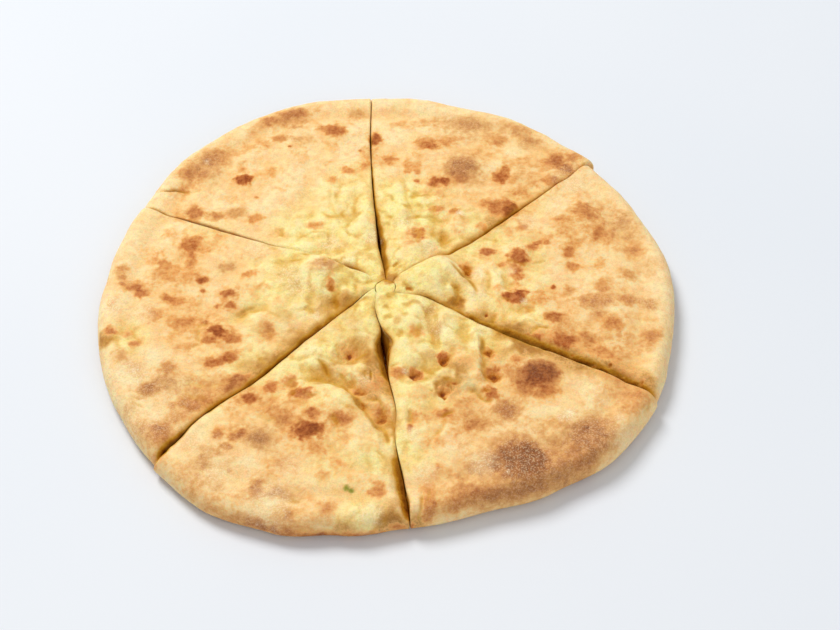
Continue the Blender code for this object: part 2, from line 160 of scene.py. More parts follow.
# Painted shade in the skin's hollows and painted highlight on its crests, found over these
# windows.
CAVITIES = ((3, 0.00018, 0.2), (7, 0.00036, 0.35), (14, 0.00080, 0.5))  # cells, depth, share

MOTTLES = (("broad mottle", -0.15, 0.60, 0.34), ("small mottle", 0.05, 0.75, 0.30))
TAN_BROWN = 0.65                # how brown the tan places are
RIM_FLOUR_AND_LIGHT = 0.25                # of each of two steps to the rim: flour, then painted light
RIM_FLOUR_AND_LIGHT_EDGES = ((0.72, 0.95), (0.93, 1.0))
FLOUR_UNDER_SHADE = 0.8              # of the flour left off where mustard shade is painted

# Clouds: length, octaves, seed, amount.
PATTERNS = {
    "spot warp x": (0.0075, 3, 11, 0.0015), "spot warp y": (0.0075, 3, 23, 0.0015),
    "bend x": (0.009, 2, 71, 0.0022), "bend y": (0.009, 2, 83, 0.0022),
    "pit warp x": (0.0060, 3, 191, 0.0028), "pit warp y": (0.0060, 3, 193, 0.0028),
    "ragged spots": (0.0034, 3, 37, 0.33), "ragged pits": (0.0045, 3, 197, 0.55),
    "uneven folds": (0.0080, 2, 199, 0.6), "pucker": (0.0062, 3, 101, 0.00045),
    "swells": (0.016, 2, 141, 0.00065), "grain": (0.0024, 2, 131, 0.00012),
    "broad mottle": (0.013, 3, 151, 1.0), "small mottle": (0.0052, 3, 163, 1.0),
    "mottle zones": (0.045, 2, 157, 1.0), "painted shade streaks": (0.0050, 3, 223, 0.5),
    "yellow edge": (0.012, 3, 61, 0.3), "tan edge": (0.014, 3, 181, 0.35),
    "flour edge": (0.0052, 3, 171, 0.4), "white edge": (0.0030, 3, 201, 0.5),
    "painted shade edge": (0.0060, 3, 211, 0.45), "herb edge": (0.0015, 2, 207, 0.3),
}

# --- looks, lights and camera ----------------------------------------------------------------
# Masks of the crust. Those of the hollows, creases, pits, cut slopes, seams, deep gaps and the
# mustard patches carry painted shade, the crests painted highlight, part of the flour painted
# light.
MASKS = ("brown", "grey", "yellow", "flour", "white", "herb", "painted_shade", "crease", "pit", "hollow",
         "crest", "slope", "cut", "deep", "under")

# Colour ramps: position, and the colour as 0..255 values of a screen.
RAMPS = {
    # mustard painted shade
    "painted_shade_colour": ((0.0, (240, 194, 108)), (0.5, (216, 158, 70)), (1.0, (172, 108, 24))),
    "warm": ((0.0, (254, 214, 150)), (0.30, (248, 196, 122)), (0.50, (236, 168, 94)),
             (0.68, (210, 132, 68)), (0.85, (182, 98, 40)), (1.0, (142, 66, 22))),
    "dusty": ((0.0, (248, 206, 142)), (0.30, (236, 186, 118)), (0.6, (200, 146, 88)),
              (0.85, (152, 98, 54)), (1.0, (118, 70, 34))),
    # painted shade on the slopes into the cuts
    "mustard": ((0.05, (228, 176, 74)), (0.3, (202, 142, 40)), (0.6, (152, 90, 18)),
                (0.85, (100, 50, 8))),
    # painted shade in creases, grooves and beside the cuts
    "groove": ((0.0, (230, 182, 78)), (0.5, (206, 146, 42)), (1.0, (142, 84, 16))),
    # brown crust in the pits, with painted shade at their bottom
    "pit_brown_and_shade": ((0.0, (240, 190, 104)), (0.4, (222, 158, 72)), (0.7, (194, 118, 36)),
              (1.0, (138, 68, 12))),
    # the cheese, its yellow darkened with painted shade
    "filling": ((0.3, (184, 120, 20)), (0.5, (204, 144, 36)), (0.7, (222, 172, 70))),
}

# Lights: name, place, size, power, colour. Each faces the origin.
AREA_LIGHTS = (
    ("key", (-1.2, 1.6, 2.55), 1.4, 74.0, (1.0, 0.985, 0.95)),
    ("fill", (1.0, -1.6, 1.3), 1.6, 8.0, (1.0, 0.98, 0.95)),
)
WORLD_COLOUR = (1.0, 0.985, 0.96, 1.0)
WORLD_STRENGTH = 0.48
FLOOR_HALF = 3.0
CAMERA_PLACE = (0.0156, -0.5770, 0.6704)
CAMERA_TILT = 40.4              # degrees away from straight down
CAMERA_LENS = 77.14
CAMERA_SENSOR = 36.0

# --- the bread's drawing, in millimetres from the hub ----------------------------------------

# Cuts: ring angle, points, openings (distance along, half width, reach), how far under the
# edge the gap's two sides meet, and for each of the two sides the rounding of the cut edge as
# (distance along, reach, drop) and the mustard painted shade on the skin beside it as
# (distance along, reach, strength).
CUTS = {
    "ab": {
        "ring_angle": 88, "closes": 3.4,
        "points": ((-2.5, 20), (-4.6, 35), (-8, 70), (-10, 108), (-10, 144)),
        "opening": ((29, .8, 11), (60, .22, 30), (97, .2, 10), (125, .1, 20)),
        "edges": {1: ((0, 1, .6), (12, 1.3, 1), (60, 1, 1), (140, 1, 1.2)),
                 -1: ((0, 2.4, 1.6), (12, 4.2, 3.2), (30, 4.2, 3.8), (60, 2.2, 2.2),
                      (140, 1, 1.4))},
        "painted_shades": {1: ((0, 2, .5), (30, 2, .4), (60, 2, .1), (140, 2, 0)),
                  -1: ((0, 3, .7), (40, 4, .5), (70, 3, .3), (140, 3, .1))},
    },
    "bc": {
        "ring_angle": 45, "closes": 5,
        "points": ((5.6, 9.6), (10, 13.4), (20, 19.6), (31, 26.6), (45, 37), (80, 70),
                   (104, 92.5)),
        "opening": ((36, .3, 30), (70, .35, 25), (100, .2, 30)),
        "edges": {1: ((0, 1, .3), (18, 2.8, 1.5), (36, 3.4, 2), (60, 2.6, 1.9), (90, 2, 1.8),
                      (140, 1.4, 1.4)),
                 -1: ((0, .8, .2), (10, 3, 1.4), (24, 3.2, 1.7), (42, 1.8, 1.1), (70, 1.1, 1),
                      (140, 1.6, 1.4))},
        "painted_shades": {1: ((0, 2, .3), (20, 3, .6), (50, 5, .7), (90, 5, .6), (140, 3, .5)),
                  -1: ((0, 2, .2), (140, 2, .1))},
    },
    "cd": {
        "ring_angle": -35, "closes": 6.5,
        "points": ((10, -2.5), (20, -5), (44, -18.2), (65, -29.3), (85, -39.1), (104, -48.3),
                   (118, -57), (134, -66.5)),
        "opening": ((35, .3, 20), (62, .7, 20), (100, .5, 22)),
        "edges": {1: ((0, .6, .05), (12, 1.4, .6), (28, 2.8, 2), (42, 3.4, 2.5), (64, 4.6, 3.8),
                      (78, 5.2, 4.6), (140, 4.8, 4.4)),
                 -1: ((0, .6, .05), (15, 1.2, .8), (40, 2.2, 1.8), (75, 2.8, 2.2),
                      (140, 1.6, 1.6))},
        "painted_shades": {1: ((0, 2, .2), (20, 4, .6), (42, 5, .5), (56, 8, 1), (90, 10, 1), (120, 9, .8),
                       (140, 8, .7)),
                  -1: ((0, 2, .1), (48, 2, .2), (58, 7, 1), (66, 9, 1), (100, 8, 1), (120, 7, .7),
                       (140, 3, .4))},
    },
    "de": {
        "ring_angle": 212, "closes": 6,
        "points": ((-5.4, -12), (-1.6, -26), (0, -38), (1.4, -52), (5, -71), (4.8, -88), (9, -110),
                   (13.5, -136)),
        "opening": ((31, 3, 5.5), (39, 1.2, 7), (126, .3, 8)),
        "edges": {1: ((0, .8, .1), (19, 1.4, .5), (26, 1.1, 1.1), (36, 1.1, 1), (46, 1.2, .9),
                      (56, 1, .35), (90, 1, .35), (104, 1, .8), (116, 1.4, 1.6), (140, 1.8, 2)),
                 -1: ((0, .8, .1), (19, 2.4, .7), (27, 3, 3), (38, 4.4, 4.2), (48, 4.6, 3.4),
                      (56, 3.6, 1.2), (66, 2, .4), (88, 1.6, .4), (94, 4, 1.2), (100, 7, 2.8),
                      (112, 7.6, 4.2), (126, 5.6, 5), (140, 3.6, 3.8))},
        "painted_shades": {1: ((0, 2, .2), (20, 2, .4), (34, 2, .7), (60, 2, .1), (110, 2, .1),
                       (140, 4, .8)),
                  -1: ((0, 3, .2), (24, 4, .5), (40, 7, .9), (56, 7, .8), (70, 3, .5), (90, 3, .4),
                       (100, 7, .9), (118, 6, .7), (140, 8, .9))},
    },
    "ef": {
        "ring_angle": 178, "closes": 3.6,
        "points": ((-11.5, -2), (-20, -10.5), (-40, -30.5), (-60, -51.6), (-75, -64.2),
                   (-87, -75.4), (-97, -89), (-107, -104)),
        "opening": ((12, .2, 10), (50, .4, 30), (110, .2, 24)),
        "edges": {1: ((0, .6, .05), (8, .8, .3), (16, 1.4, 1), (60, 2, 1.8), (140, 3, 2.4)),
                 -1: ((0, .8, .05), (8, 1.6, .6), (18, 3.6, 1.8), (30, 4, 2.3), (48, 2.8, 2.3),
                      (80, 2.8, 2.4), (112, 2.4, 1.6), (126, 3.4, 2.6), (140, 4.6, 4.2))},
        "painted_shades": {1: ((0, 2, .1), (140, 2, .2)),
                  -1: ((0, 2, .2), (18, 6, .7), (45, 7, .8), (66, 9, 1), (84, 8, 1), (106, 4, .5),
                       (124, 4, .9), (140, 5, .9))},
    },
    "fa": {
        "ring_angle": 140, "closes": 4,
        "points": ((-10, 11), (-22, 17), (-44, 26.5), (-90, 45), (-124, 60)),
        "opening": ((17, .9, 5), (92, .6, 24)),
        "edges": {1: ((0, .6, .05), (8, 1, .3), (20, 1.6, .8), (42, 1, .1), (60, .9, .5),
                      (140, .9, 1)),
                 -1: ((0, .6, .05), (8, 2.4, .6), (15, 3, 1.8), (20, 2.6, 2), (30, 1.6, .5),
                      (42, 1, .1), (60, .8, .5), (140, .9, 1))},
        "painted_shades": {1: ((0, 2, .1), (20, 2, .4), (40, 2, 0), (80, 2, .3), (140, 2, .3)),
                  -1: ((0, 2, .1), (20, 3, .5), (40, 2, 0), (80, 2, .3), (140, 2, .3))},
    },
}

# Slices: the cut on the clockwise side first, the outline's radius at even stations, the
# lift, bumps (x, y, radius, height) and folds (points, half width, height).
SLICES = (
    {"name": "slice_1", "cuts": ("ab", "fa"), "rim": (138, 140.8, 141.7, 140.3, 137.2),
     "lift": 0,
     "bumps": ((-95, 87, 12, 1.4), (-74, 77, 6, 1.2), (-28, 113, 9, 1.2), (-26, 31, 10, -1.2),
               (-12, 42, 10, 1), (-52, 124, 10, 1)),
     "folds": ((((-42, 88), (-42, 66)), 4, -.8),)},
    {"name": "slice_6", "cuts": ("fa", "ef"), "rim": (138, 138.4, 141.1, 142.8, 144.8),
     "lift": 0,
     "bumps": ((-32, 12, 14, 3), (-55, -25, 7, -1.6), (-80, -24, 8, 1.2), (-50, 12, 7, -1.2),
               (-98, 33, 8, 1), (-66, 2, 9, 1)),
     "folds": ((((-74, -16), (-60, -9)), 4, -1.4), (((-21, 4), (-26, -8)), 4, -1.6))},
    {"name": "slice_5", "cuts": ("ef", "de"), "rim": (146.5, 148.2, 144.8, 138.5, 133.8),
     "lift": -.6,
     "bumps": ((-17, -36, 8, -2.6), (-34, -84, 8, 1.2), (-26, -68, 10, 1.2), (-57, -113, 9, 1),
               (-10, -22, 7, .8), (-6, -82, 6, -1)),
     "folds": ((((-38, -46), (-28, -52), (-18, -56)), 4, -1.8), (((-16, -58), (0, -78)), 4, -1.6),
               (((-12, -48), (0, -66)), 4, 1.4))},
    {"name": "slice_4", "cuts": ("de", "cd"), "rim": (133.4, 132.4, 137, 142, 142.3),
     "lift": 1,
     "bumps": ((72, -51, 11, 1.8), (62, -98, 13, 1.6), (93, -82, 13, 1.4), (27, -42, 5, -2.2),
               (28, -60, 6, -2), (13, -50, 5, -1.6), (49, -50, 6, -1.8), (12, -22, 9, 1)),
     "folds": ((((21, -14), (24, -34)), 4, -1.8), (((28, -18), (30, -32)), 4, 1.4),
               (((42, -28), (43, -52)), 4, 1.8), (((33, -56), (44, -55), (52, -66)), 4, 1.4))},
    {"name": "slice_3", "cuts": ("cd", "bc"), "rim": (141.5, 139.1, 139.9, 136.2, 134.7),
     "lift": .3,
     "bumps": ((19, 12, 13, 2.6), (34, -1, 7, -2.8), (24, -1, 6, 1.6), (62, 0, 8, 1),
               (64, 22, 7, 1), (100, 52, 10, 1.2), (52, -16, 8, -1), (100, -8, 13, 1)),
     "folds": ((((24, 20), (36, 11), (43, -1)), 5, 1.8),
               (((32, 24), (40, 14), (49, 2)), 4, -1.6))},
    {"name": "slice_2", "cuts": ("bc", "ab"), "rim": (138.5, 137, 138.3, 135.5, 138.2, 138.2),
     "lift": -.4,
     "bumps": ((38, 87, 11, 1.4), (57, 56, 10, 1.4), (4, 12, 8, -1.6), (24, 75, 7, 1),
               (14, 28, 8, 1.2), (42, 118, 12, 1.2)),
     "folds": ((((28, 33), (26, 46)), 5, -1.6),)},
)
DISC_SLICE = "slice_4"

# Browned blisters: (x, y, radius along, radius across, turn, browning, how grey with flour).
SPOTS = (
    # back left slice
    (-74, 77, 6, 5.5, 0, .92, 0), (-95, 87, 14, 7.5, 42, .36, .45), (-103, 82, 6, 5, 40, .36, .1),
    (-92, 93, 6, 4, 40, .32, .3), (-55, 124, 12, 4.5, 22, .46, .3),
    (-64, 121, 5, 3.5, 30, .42, .2), (-48, 126, 6, 4, 15, .4, .2), (-28, 113, 6.5, 5, 0, .7, .1),
    (-33, 115, 4, 3, 0, .5, .1), (-17, 127, 7, 4.5, 0, .42, .4), (-8, 108, 3.5, 5, 0, .6, .1),
    (-58, 108, 4.5, 3, 0, .52, .2), (-66, 103, 6, 5, 0, .28, .1), (-52, 101.5, 1.3, 1, 0, .8, 0),
    (-47, 107, 5, 4.5, 0, .32, .5), (-60, 83, 5, 4.5, 0, .38, 0), (-97, 54, 5, 6, 0, .66, .2),
    (-86, 52, 4.5, 3.5, 0, .6, .3), (-76, 54, 4.5, 4, 0, .5, .5), (-66, 50, 5, 3.5, 0, .52, 0),
    (-22, 84, 4, 3.5, 0, .46, 0), (-29, 77, 4, 3.5, 0, .4, 0), (-12, 86, 3.5, 4.5, 0, .4, 0),
    (-31, 89, 3, 3, 0, .28, 0), (-15, 99, 1.2, 1.2, 0, .6, 0), (-67, 65, 1.4, 1.2, 0, .5, 0),
    (-36, 44, 4, 3, 0, .46, 0), (-104, 70, 7, 4, 40, .42, .1), (-84, 96, 9, 6, 35, .3, .2),
    (-70, 110, 8, 6, 20, .1, .2), (-45, 96, 6, 4, 0, .2, .2), (-54, 72, 5, 4, 0, .2, 0),
    (-80, 64, 6, 4, 0, .2, .1),
    # back right slice
    (1, 93, 5, 4.5, 0, .6, 0), (-7, 108, 4, 5, 0, .66, .1), (18, 105, 6, 5, 0, .58, .15),
    (22, 102, 3.5, 2.5, 0, .6, 0), (30, 106, 8, 4, 10, .42, .1), (12, 88, 6, 5, 0, .46, 0),
    (9, 83, 2, 2, 0, .5, 0), (15, 83, 2, 2, 0, .45, 0), (14, 77, 2.2, 2, 0, .66, 0),
    (23, 75, 4, 4, 0, .78, .05), (28, 76, 4, 3.5, 0, .8, .05), (37, 87, 10, 8.5, 0, .62, .55),
    (36, 79, 5, 5, 0, .5, .3), (57, 79, 4.5, 4.5, 0, .82, .05), (60, 84, 3, 5, 0, .56, .1),
    (57, 108, 6, 5.5, 0, .5, .25), (40, 119, 13, 6.5, 0, .44, .5), (68, 116, 10, 5, -25, .42, .4),
    (73, 106, 6, 5, 0, .42, .5), (87, 92, 4, 7, 15, .56, .1), (92, 87, 4, 4, 0, .72, 0),
    (83, 78, 6, 4, 0, .56, 0), (57, 57, 8, 7, 0, .5, 0), (62, 56, 5, 5, 0, .84, 0),
    (50, 60, 5, 4, 0, .45, 0), (24, 56, 4.5, 2.6, 0, .56, 0), (34, 55, 3.5, 3, 0, .6, 0),
    (15, 38, 5, 6, 0, .7, 0), (47, 44, 4, 3, 0, .5, 0), (14, 96, 4, 3, 0, .25, 0),
    (48, 97, 8, 5, 0, .24, .1), (75, 92, 8, 5, 0, .32, .1), (4, 120, 9, 4, 0, .25, .2),
    (30, 65, 5, 4, 0, .2, 0), (68, 68, 6, 4, 0, .35, 0), (42, 66, 5, 4, 0, .25, 0),
    (96, 95, 5, 4, 0, .5, 0), (20, 122, 8, 4, 0, .3, .3),
    # right slice
    (49, 27, 4.5, 4, 0, .76, .1), (64, 22, 5.5, 6, 0, .76, 0), (62, -3, 7.5, 5, 0, .86, 0),
    (63, 10, 4, 5, 0, .52, 0), (64, 15, 4, 4, 0, .4, 0), (56, 18, 3, 2, 0, .5, 0),
    (99, 55, 9, 6.5, -15, .6, .2), (105, 41, 5, 4.5, 0, .5, .2), (86, 50, 5, 2.5, 20, .4, .1),
    (87, 43, 5, 5, 0, .36, .2), (93, 35, 5, 5, 0, .36, .2), (67, 44, 4, 4, 0, .5, .1),
    (74, 33, 2.8, 2.4, 0, .66, 0), (79, 33, 2.6, 2.2, 0, .56, 0), (72, 30, 3.5, 2.5, 0, .5, 0),
    (89, 27, 3.5, 4, 0, .66, .1), (91, 18, 4, 3.5, 0, .56, .1), (104, 20, 4, 4, 0, .38, 0),
    (118, 13, 5, 5, 0, .46, .3), (120, 28, 4.5, 4.5, 0, .4, .2), (118, 48, 8, 6, -40, .3, .5),
    (80, 4, 2, 1.8, 0, .7, 0), (88, 3, 3, 3.5, 0, .36, .3), (104, 5, 4.5, 4, 0, .46, .2),
    (100, -6, 9, 5.5, 0, .5, .35), (116, -3, 5.5, 5, 0, .4, .3), (127, -6, 5, 5, 0, .4, .3),
    (80, -15, 4.5, 3.5, 0, .7, .2), (84, -29.5, 6.5, 5.5, 0, .74, .1),
    (102, -37, 9, 4, -20, .52, .1), (69, -28, 6, 3, -25, .7, 0), (96, -28, 4.5, 4, 0, .46, .3),
    (108, -20, 5, 4, 0, .46, .1), (126, -25, 6, 5, 0, .46, .3), (110, 32, 6, 4, 0, .12, .2),
    (75, -2, 7, 4, 0, .22, 0), (112, 60, 6, 4, -40, .2, .4), (110, -3, 7, 4, 0, .25, .2),
    (96, 70, 7, 4, -30, .25, .4), (38, 15.4, 3.6, 5, 0, .6, 0), (118, -14, 6, 4, 0, .34, .2),
    (72, 55, 6, 3, 30, .2, 0), (128, 18, 4, 7, 0, .3, .3),
    # front right slice
    (72, -50.5, 10.5, 8.5, 8, .95, .42), (63.5, -56, 4, 5, 0, .5, .4), (70, -54, 6, 4.5, 0, .5, 0),
    (73, -61, 8, 5, 0, .55, .15), (56, -72, 7, 5.5, 15, .62, .4), (42, -79, 7, 4.5, 0, .54, .4),
    (27, -73, 5, 3, 0, .5, 0), (94, -84, 12, 10, 30, .66, .5), (92, -82, 1.4, 1.2, 0, .9, 0),
    (60, -99, 13, 12, -10, .88, .45), (68, -97, 6, 4, -40, .92, .3), (65, -101, 9, 7, 0, .5, .4),
    (52, -117, 14, 5, 8, .5, .45), (72, -112, 12, 5, 14, .46, .5), (88, -96, 11, 6, 30, .4, .4),
    (116, -66, 9, 6, 50, .42, .2), (27, -40, 4, 3.4, 0, .72, 0), (14, -50, 4.5, 3.4, 0, .7, 0),
    (11, -82, 1.8, 3, 0, .6, 0), (14, -27, 4.5, 4, 0, .4, 0), (6, -50, 3.5, 5, 0, .5, 0),
    (48.4, -38.5, 3.5, 4.4, 0, .6, 0), (49, -50, 5, 4, 0, .66, 0),
    (48.5, -62, 5, 3.4, -50, .66, 0), (27, -60, 4, 4, 0, .4, 0), (13, -75, 3, 5, 0, .46, 0),
    (22, -90, 6, 4, 0, .2, 0), (34, -96, 7, 4, 0, .1, .1), (30, -122, 8, 5, 0, .4, .2),
    (20, -124, 4, 10, 0, .5, 0), (100, -46, 10, 4, -25, .26, .2), (104, -95, 8, 6, 40, .22, .3),
    (18, -104, 4, 6, 0, .15, 0), (60, -42, 4, 3, 0, .4, 0), (36, -84, 6, 4, 0, .2, 0),
    (80, -78, 5, 3, 0, .3, .3), (38, -116, 8, 4, 0, .42, .3),
    # front left slice
    (-62, -63, 5.5, 3.6, 0, .76, 0), (-53, -57, 4, 4, 0, .6, 0), (-41, -61, 4.5, 3.5, 0, .7, 0),
    (-36, -61, 3.5, 3.5, 0, .62, 0), (-44, -54, 4, 4, 0, .56, .2), (-35, -82, 9, 6.5, 8, .88, 0),
    (-33, -73, 4, 3, 0, .6, 0), (-20, -76, 4.5, 4, 0, .56, 0), (-47, -76, 5, 4, 0, .42, .4),
    (-76, -83, 3.5, 3.5, 0, .6, .1), (-69, -86, 3.5, 3.5, 0, .55, .1),
    (-72, -91, 3.5, 3, 0, .6, .1), (-65, -83, 3, 3, 0, .6, 0), (-57, -87, 7, 5, -15, .5, .6),
    (-82, -97, 5, 6, 0, .36, .6), (-57, -113, 4, 5.5, 0, .66, .35),
    (-47, -116, 6, 3.5, 10, .5, .5), (-42, -126, 3, 2.5, 0, .5, .1),
    (-24, -123, 4.5, 3.5, 0, .5, .2), (-3, -114, 5, 5, 0, .56, 0), (-17, -37, 3, 2.6, 0, .4, 0),
    (-20, -33, 4, 5, 0, .25, 0), (-2, -72, 3.5, 4, 30, .7, 0), (-12, -59, 4, 3, 0, .55, 0),
    (-3, -54, 3, 7, 0, .36, 0), (-70, -130, 14, 4, -22, .2, .3), (-58, -133, 12, 4, -22, .32, .1),
    (-42, -137, 15, 4.5, -12, .62, .05), (-24, -139, 13, 4, -5, .55, .05),
    (-6, -138, 9, 4, 0, .5, 0), (9, -134, 7, 5, 0, .62, 0), (-90, -112, 8, 5, -40, .25, .3),
    (-15, -140, 10, 4, 0, .42, .1), (-22, -99, 4, 3, 0, .3, 0), (-14, -108, 10, 7, -25, .2, 0),
    (-48, -99, 6, 4, 0, .2, .1), (-28, -106, 4, 3, 0, .3, .1), (-52, -70, 6, 4, 0, .26, 0),
    (-90, -104, 6, 5, 0, .2, .5), (-74, -103, 8, 6, 0, .22, .6), (-30, -92, 5, 4, 0, .25, 0),
    (-58, -131, 7, 3, -20, .45, .25), (-27, -139, 6, 3, 0, .5, .2), (-100, -100, 6, 5, 0, .14, .2),
    # left slice
    (-69, -54, 8, 4, 40, .55, 0), (-98, 32, 6, 6.5, 0, .62, .1), (-97, 22, 4, 5, 0, .35, 0),
    (-108, 17, 6, 7, 0, .46, .1), (-130, 15, 4, 6, 0, .5, .3), (-129, 7, 2.5, 2, 0, .6, 0),
    (-123, 5, 5, 3, -20, .6, 0), (-119, 1, 5, 3.5, 0, .62, 0), (-90, 9, 3.2, 2.8, 0, .72, 0),
    (-89, 1.5, 1.6, 1.6, 0, .66, 0), (-82, -8, 1.4, 1.4, 0, .6, 0), (-86, -17, 1.6, 1.4, 0, .6, 0),
    (-77, 0, 4, 3, 0, .66, 0), (-76, -8, 3, 3, 0, .6, 0), (-106, -2, 4, 3, -30, .56, 0),
    (-101, -4, 7, 2.5, 0, .4, 0), (-67, 12, 4.5, 3.5, 0, .46, 0), (-78, 18, 4.5, 4, 0, .38, .5),
    (-98, -18, 8, 4.5, -5, .5, .15), (-88, -15, 5, 4, 0, .2, .1), (-132, -22, 4, 3.5, 0, .62, 0),
    (-125, -24, 6, 3, 0, .4, 0), (-119, -30, 3.2, 2.8, 0, .56, 0), (-80, -24, 6, 4.5, -20, .92, 0),
    (-74, -28, 5, 3.5, 0, .6, 0), (-84, -29, 4, 3, 0, .6, 0), (-80, -42, 6, 3.2, 20, .68, 0),
    (-73, -39, 4, 3.5, 30, .66, 0), (-102, -46, 5, 4.5, 0, .5, .3),
    (-110, -57, 5.5, 4.5, 0, .64, .45), (-104, -54, 6, 5, 0, .4, .7),
    (-126, -38, 4.5, 5, 0, .36, .5), (-92, -66, 8, 4.5, 0, .46, .2),
    (-83, -67, 7, 3.5, 25, .46, 0), (-101, -84, 8, 6, -40, .56, .3), (-107, -97, 5, 5, 0, .3, .1),
    (-118, -68, 7, 5, 60, .3, .8), (-56, -24, 4, 5, 0, .46, .3), (-31, 14, 7, 4.5, 10, .5, .6),
    (-27, 3, 2.6, 4.5, 0, .56, 0), (-50, -5, 5, 4, 0, .2, 0), (-109, 40, 7, 4, 20, .3, 0),
    (-118, 27, 7, 5, 0, .28, 0), (-88, 30, 6, 4, 0, .26, 0), (-66, 24, 7, 4, 0, .2, 0),
    (-112, -14, 6, 4, 0, .3, 0), (-96, -33, 7, 4, 0, .3, .1), (-60, 3, 5, 3.5, 0, .26, 0),
    (-132, -6, 3, 6, 0, .3, .1), (-118, -46, 6, 5, 0, .3, .5), (-98, -76, 8, 4, 30, .3, .3),
    (-114, -80, 7, 5, -50, .2, .5),
)

# Where the crust is buttery yellow: (x, y, radius, strength).
YELLOW = (
    (0, 0, 42, 1), (-30, 38, 30, .8), (10, 55, 26, .95), (38, 38, 22, .7), (-14, 72, 22, .5),
    (-45, 8, 26, .7), (-60, -12, 18, .45), (-22, -50, 32, .85), (10, -60, 26, .7),
    (30, -35, 30, .7), (58, -18, 24, .6), (62, 8, 20, .35), (5, -95, 18, .7), (-8, -130, 16, .7),
    (-60, -45, 20, .6), (72, 22, 9, .7), (68, 62, 14, .4), (-124, -26, 12, .7), (-20, -96, 20, .4),
    (-85, -62, 14, .6), (-90, 40, 12, .3), (60, 30, 20, .4),
)

# Where the whole crust is browner: (x, y, radius, strength).
TAN = (
    (60, -110, 32, .42), (98, -78, 24, .12), (30, -114, 18, .28), (118, -55, 16, .3),
    (50, -60, 22, .28), (115, 40, 20, .3), (80, 30, 22, .25), (92, 90, 16, .4), (40, 110, 22, .25),
    (-95, 85, 22, .2), (-50, 122, 18, .2), (-100, -5, 28, .25), (-80, -28, 24, .18),
    (-85, 25, 24, .15), (-40, -80, 28, .3), (-10, -60, 20, .35), (88, -20, 20, .3),
    (60, 62, 18, .25), (92, -106, 13, .75), (-86, -58, 10, .35), (36, -70, 9, .55),
    (70, 78, 10, .3), (38, -41, 8, .35), (30, -72, 8, .2), (-48, -131, 9, .4),
    (-108, -84, 12, .35), (82, -92, 9, .45), (72, 79, 9, .35), (-76, -54, 8, .2),
    (-35, -125, 14, .42), (-72, -122, 14, .35), (-46, -103, 13, .25), (-78, -57, 13, .5),
    (114, -32, 14, .5), (108, -56, 12, .5), (-105, 57, 9, .4), (97, 48, 9, .35), (82, 70, 9, .35),
    (-51, -68, 9, .35), (-11, 98, 6, .6), (-12, -87, 9, .3), (-80, -116, 10, .3),
    (-68, -56, 9, .4), (33, 47, 9, .4), (48, 22, 9, .3), (43, 78, 9, .35), (22, -80, 9, .35),
    (-2, -90, 7, .3), (-115, 9, 9, .35), (107, 5, 9, .35), (15, -63, 7, .3), (-91, -71, 9, .4),
    (-90, 81, 7, .3), (24, 24, 7, .3), (85, -19, 8, .35), (21, 67, 8, .35), (-94, -55, 9, .35),
    (11, 32, 7, .3), (-54, -30, 8, .35), (-69, -1, 9, .35), (-8, 63, 6, .3), (-67, -77, 9, .3),
)

# Where mustard shade is painted on the skin: (x, y, radius, strength).
PAINTED_SHADE_PATCHES = (
    (-5, -50, 8, .9), (-7, -40, 6, .5), (-12, -31, 6, .4), (-21, -6, 7, .7), (-29, -9, 7, .5),
    (-44, -27, 9, .4), (1, 8, 6, .9), (27.5, -57, 7.5, .85), (34, -46, 7, .55), (18, -61, 8, .35),
    (64, -25, 8, .45), (-64, -46, 9, .4), (-24, -45, 8, .35), (-30, -50, 8, .5), (-10, -62, 9, .5),
    (4, -134, 7, .6), (-17, -137, 9, .4), (-134, -27, 6, .5), (24, -24, 5, .5), (39, 5, 5, .4),
    (46, -14, 7, .5), (14, -46, 7, .3), (-2, -80, 8, .4), (12, 54, 7, .3), (26, 40, 7, .4),
    (-24, 30, 6, .3), (-50, -14, 7, .4), (108, -46, 9, .7), (118, -52, 8, .6), (5, -20, 3, .5),
    (40, -68, 8, .3), (54, 48, 8, .6), (3, -126, 6, .4), (4, -134, 9, .9), (12, -133, 8, .9),
    (-17, -139, 9, .6), (-36, -138, 9, .5), (-134, -27, 8, .6), (122, -57, 7, .7),
    (-15, -17, 7, .4), (-17, -37, 10, .6), (33, -6.5, 6, .95), (16, -136, 8, .5),
    (-4, -57, 8, .95), (3, -76, 6, .5), (66, -35, 8, .8), (70, -29, 6, .7), (84, -42, 9, .5),
    (54, -40, 6, .45), (38, -47, 6, .45), (36, -54, 5, .45), (31, -62, 4, .4), (25, 23, 6, .45),
    (63, -6, 6, .35), (21, -41, 6, .45), (28, -47, 5, .35), (1, -123, 7, .35),
)

# Where flour lies on the crust, and at (134, -4) and (132, 16) painted light on the rim:
# (x, y, radius, strength).
FLOUR_AND_LIGHT = (
    (-108, -70, 26, .75), (-80, -102, 24, .7), (-110, -40, 16, .45), (62, -98, 17, .65),
    (95, -84, 17, .8), (72, -50, 10, .15), (56, -72, 8, .5), (83, -74, 4.5, 1), (107, -76, 4, .9),
    (40, 118, 16, .5), (37, 87, 10, .5), (116, 52, 14, .5), (-94, 89, 12, .5), (-31, 15, 8, .5),
    (100, -6, 12, .4), (94, 80, 13, .9), (82, 58, 9, .7), (118, -5, 18, .35), (-56, -112, 10, .3),
    (70, -112, 30, .5), (-58, -87, 9, .4), (-82, 18, 9, .4), (-128, 12, 8, .4), (-6, -128, 6, .8),
    (36, 53, 1.8, 1), (-52, 120, 12, .3), (134, -4, 13, 1), (132, 16, 12, .9), (66, -6, 3, .7),
    (55, -106, 1.6, 1), (18, 28, 6, .5),
)

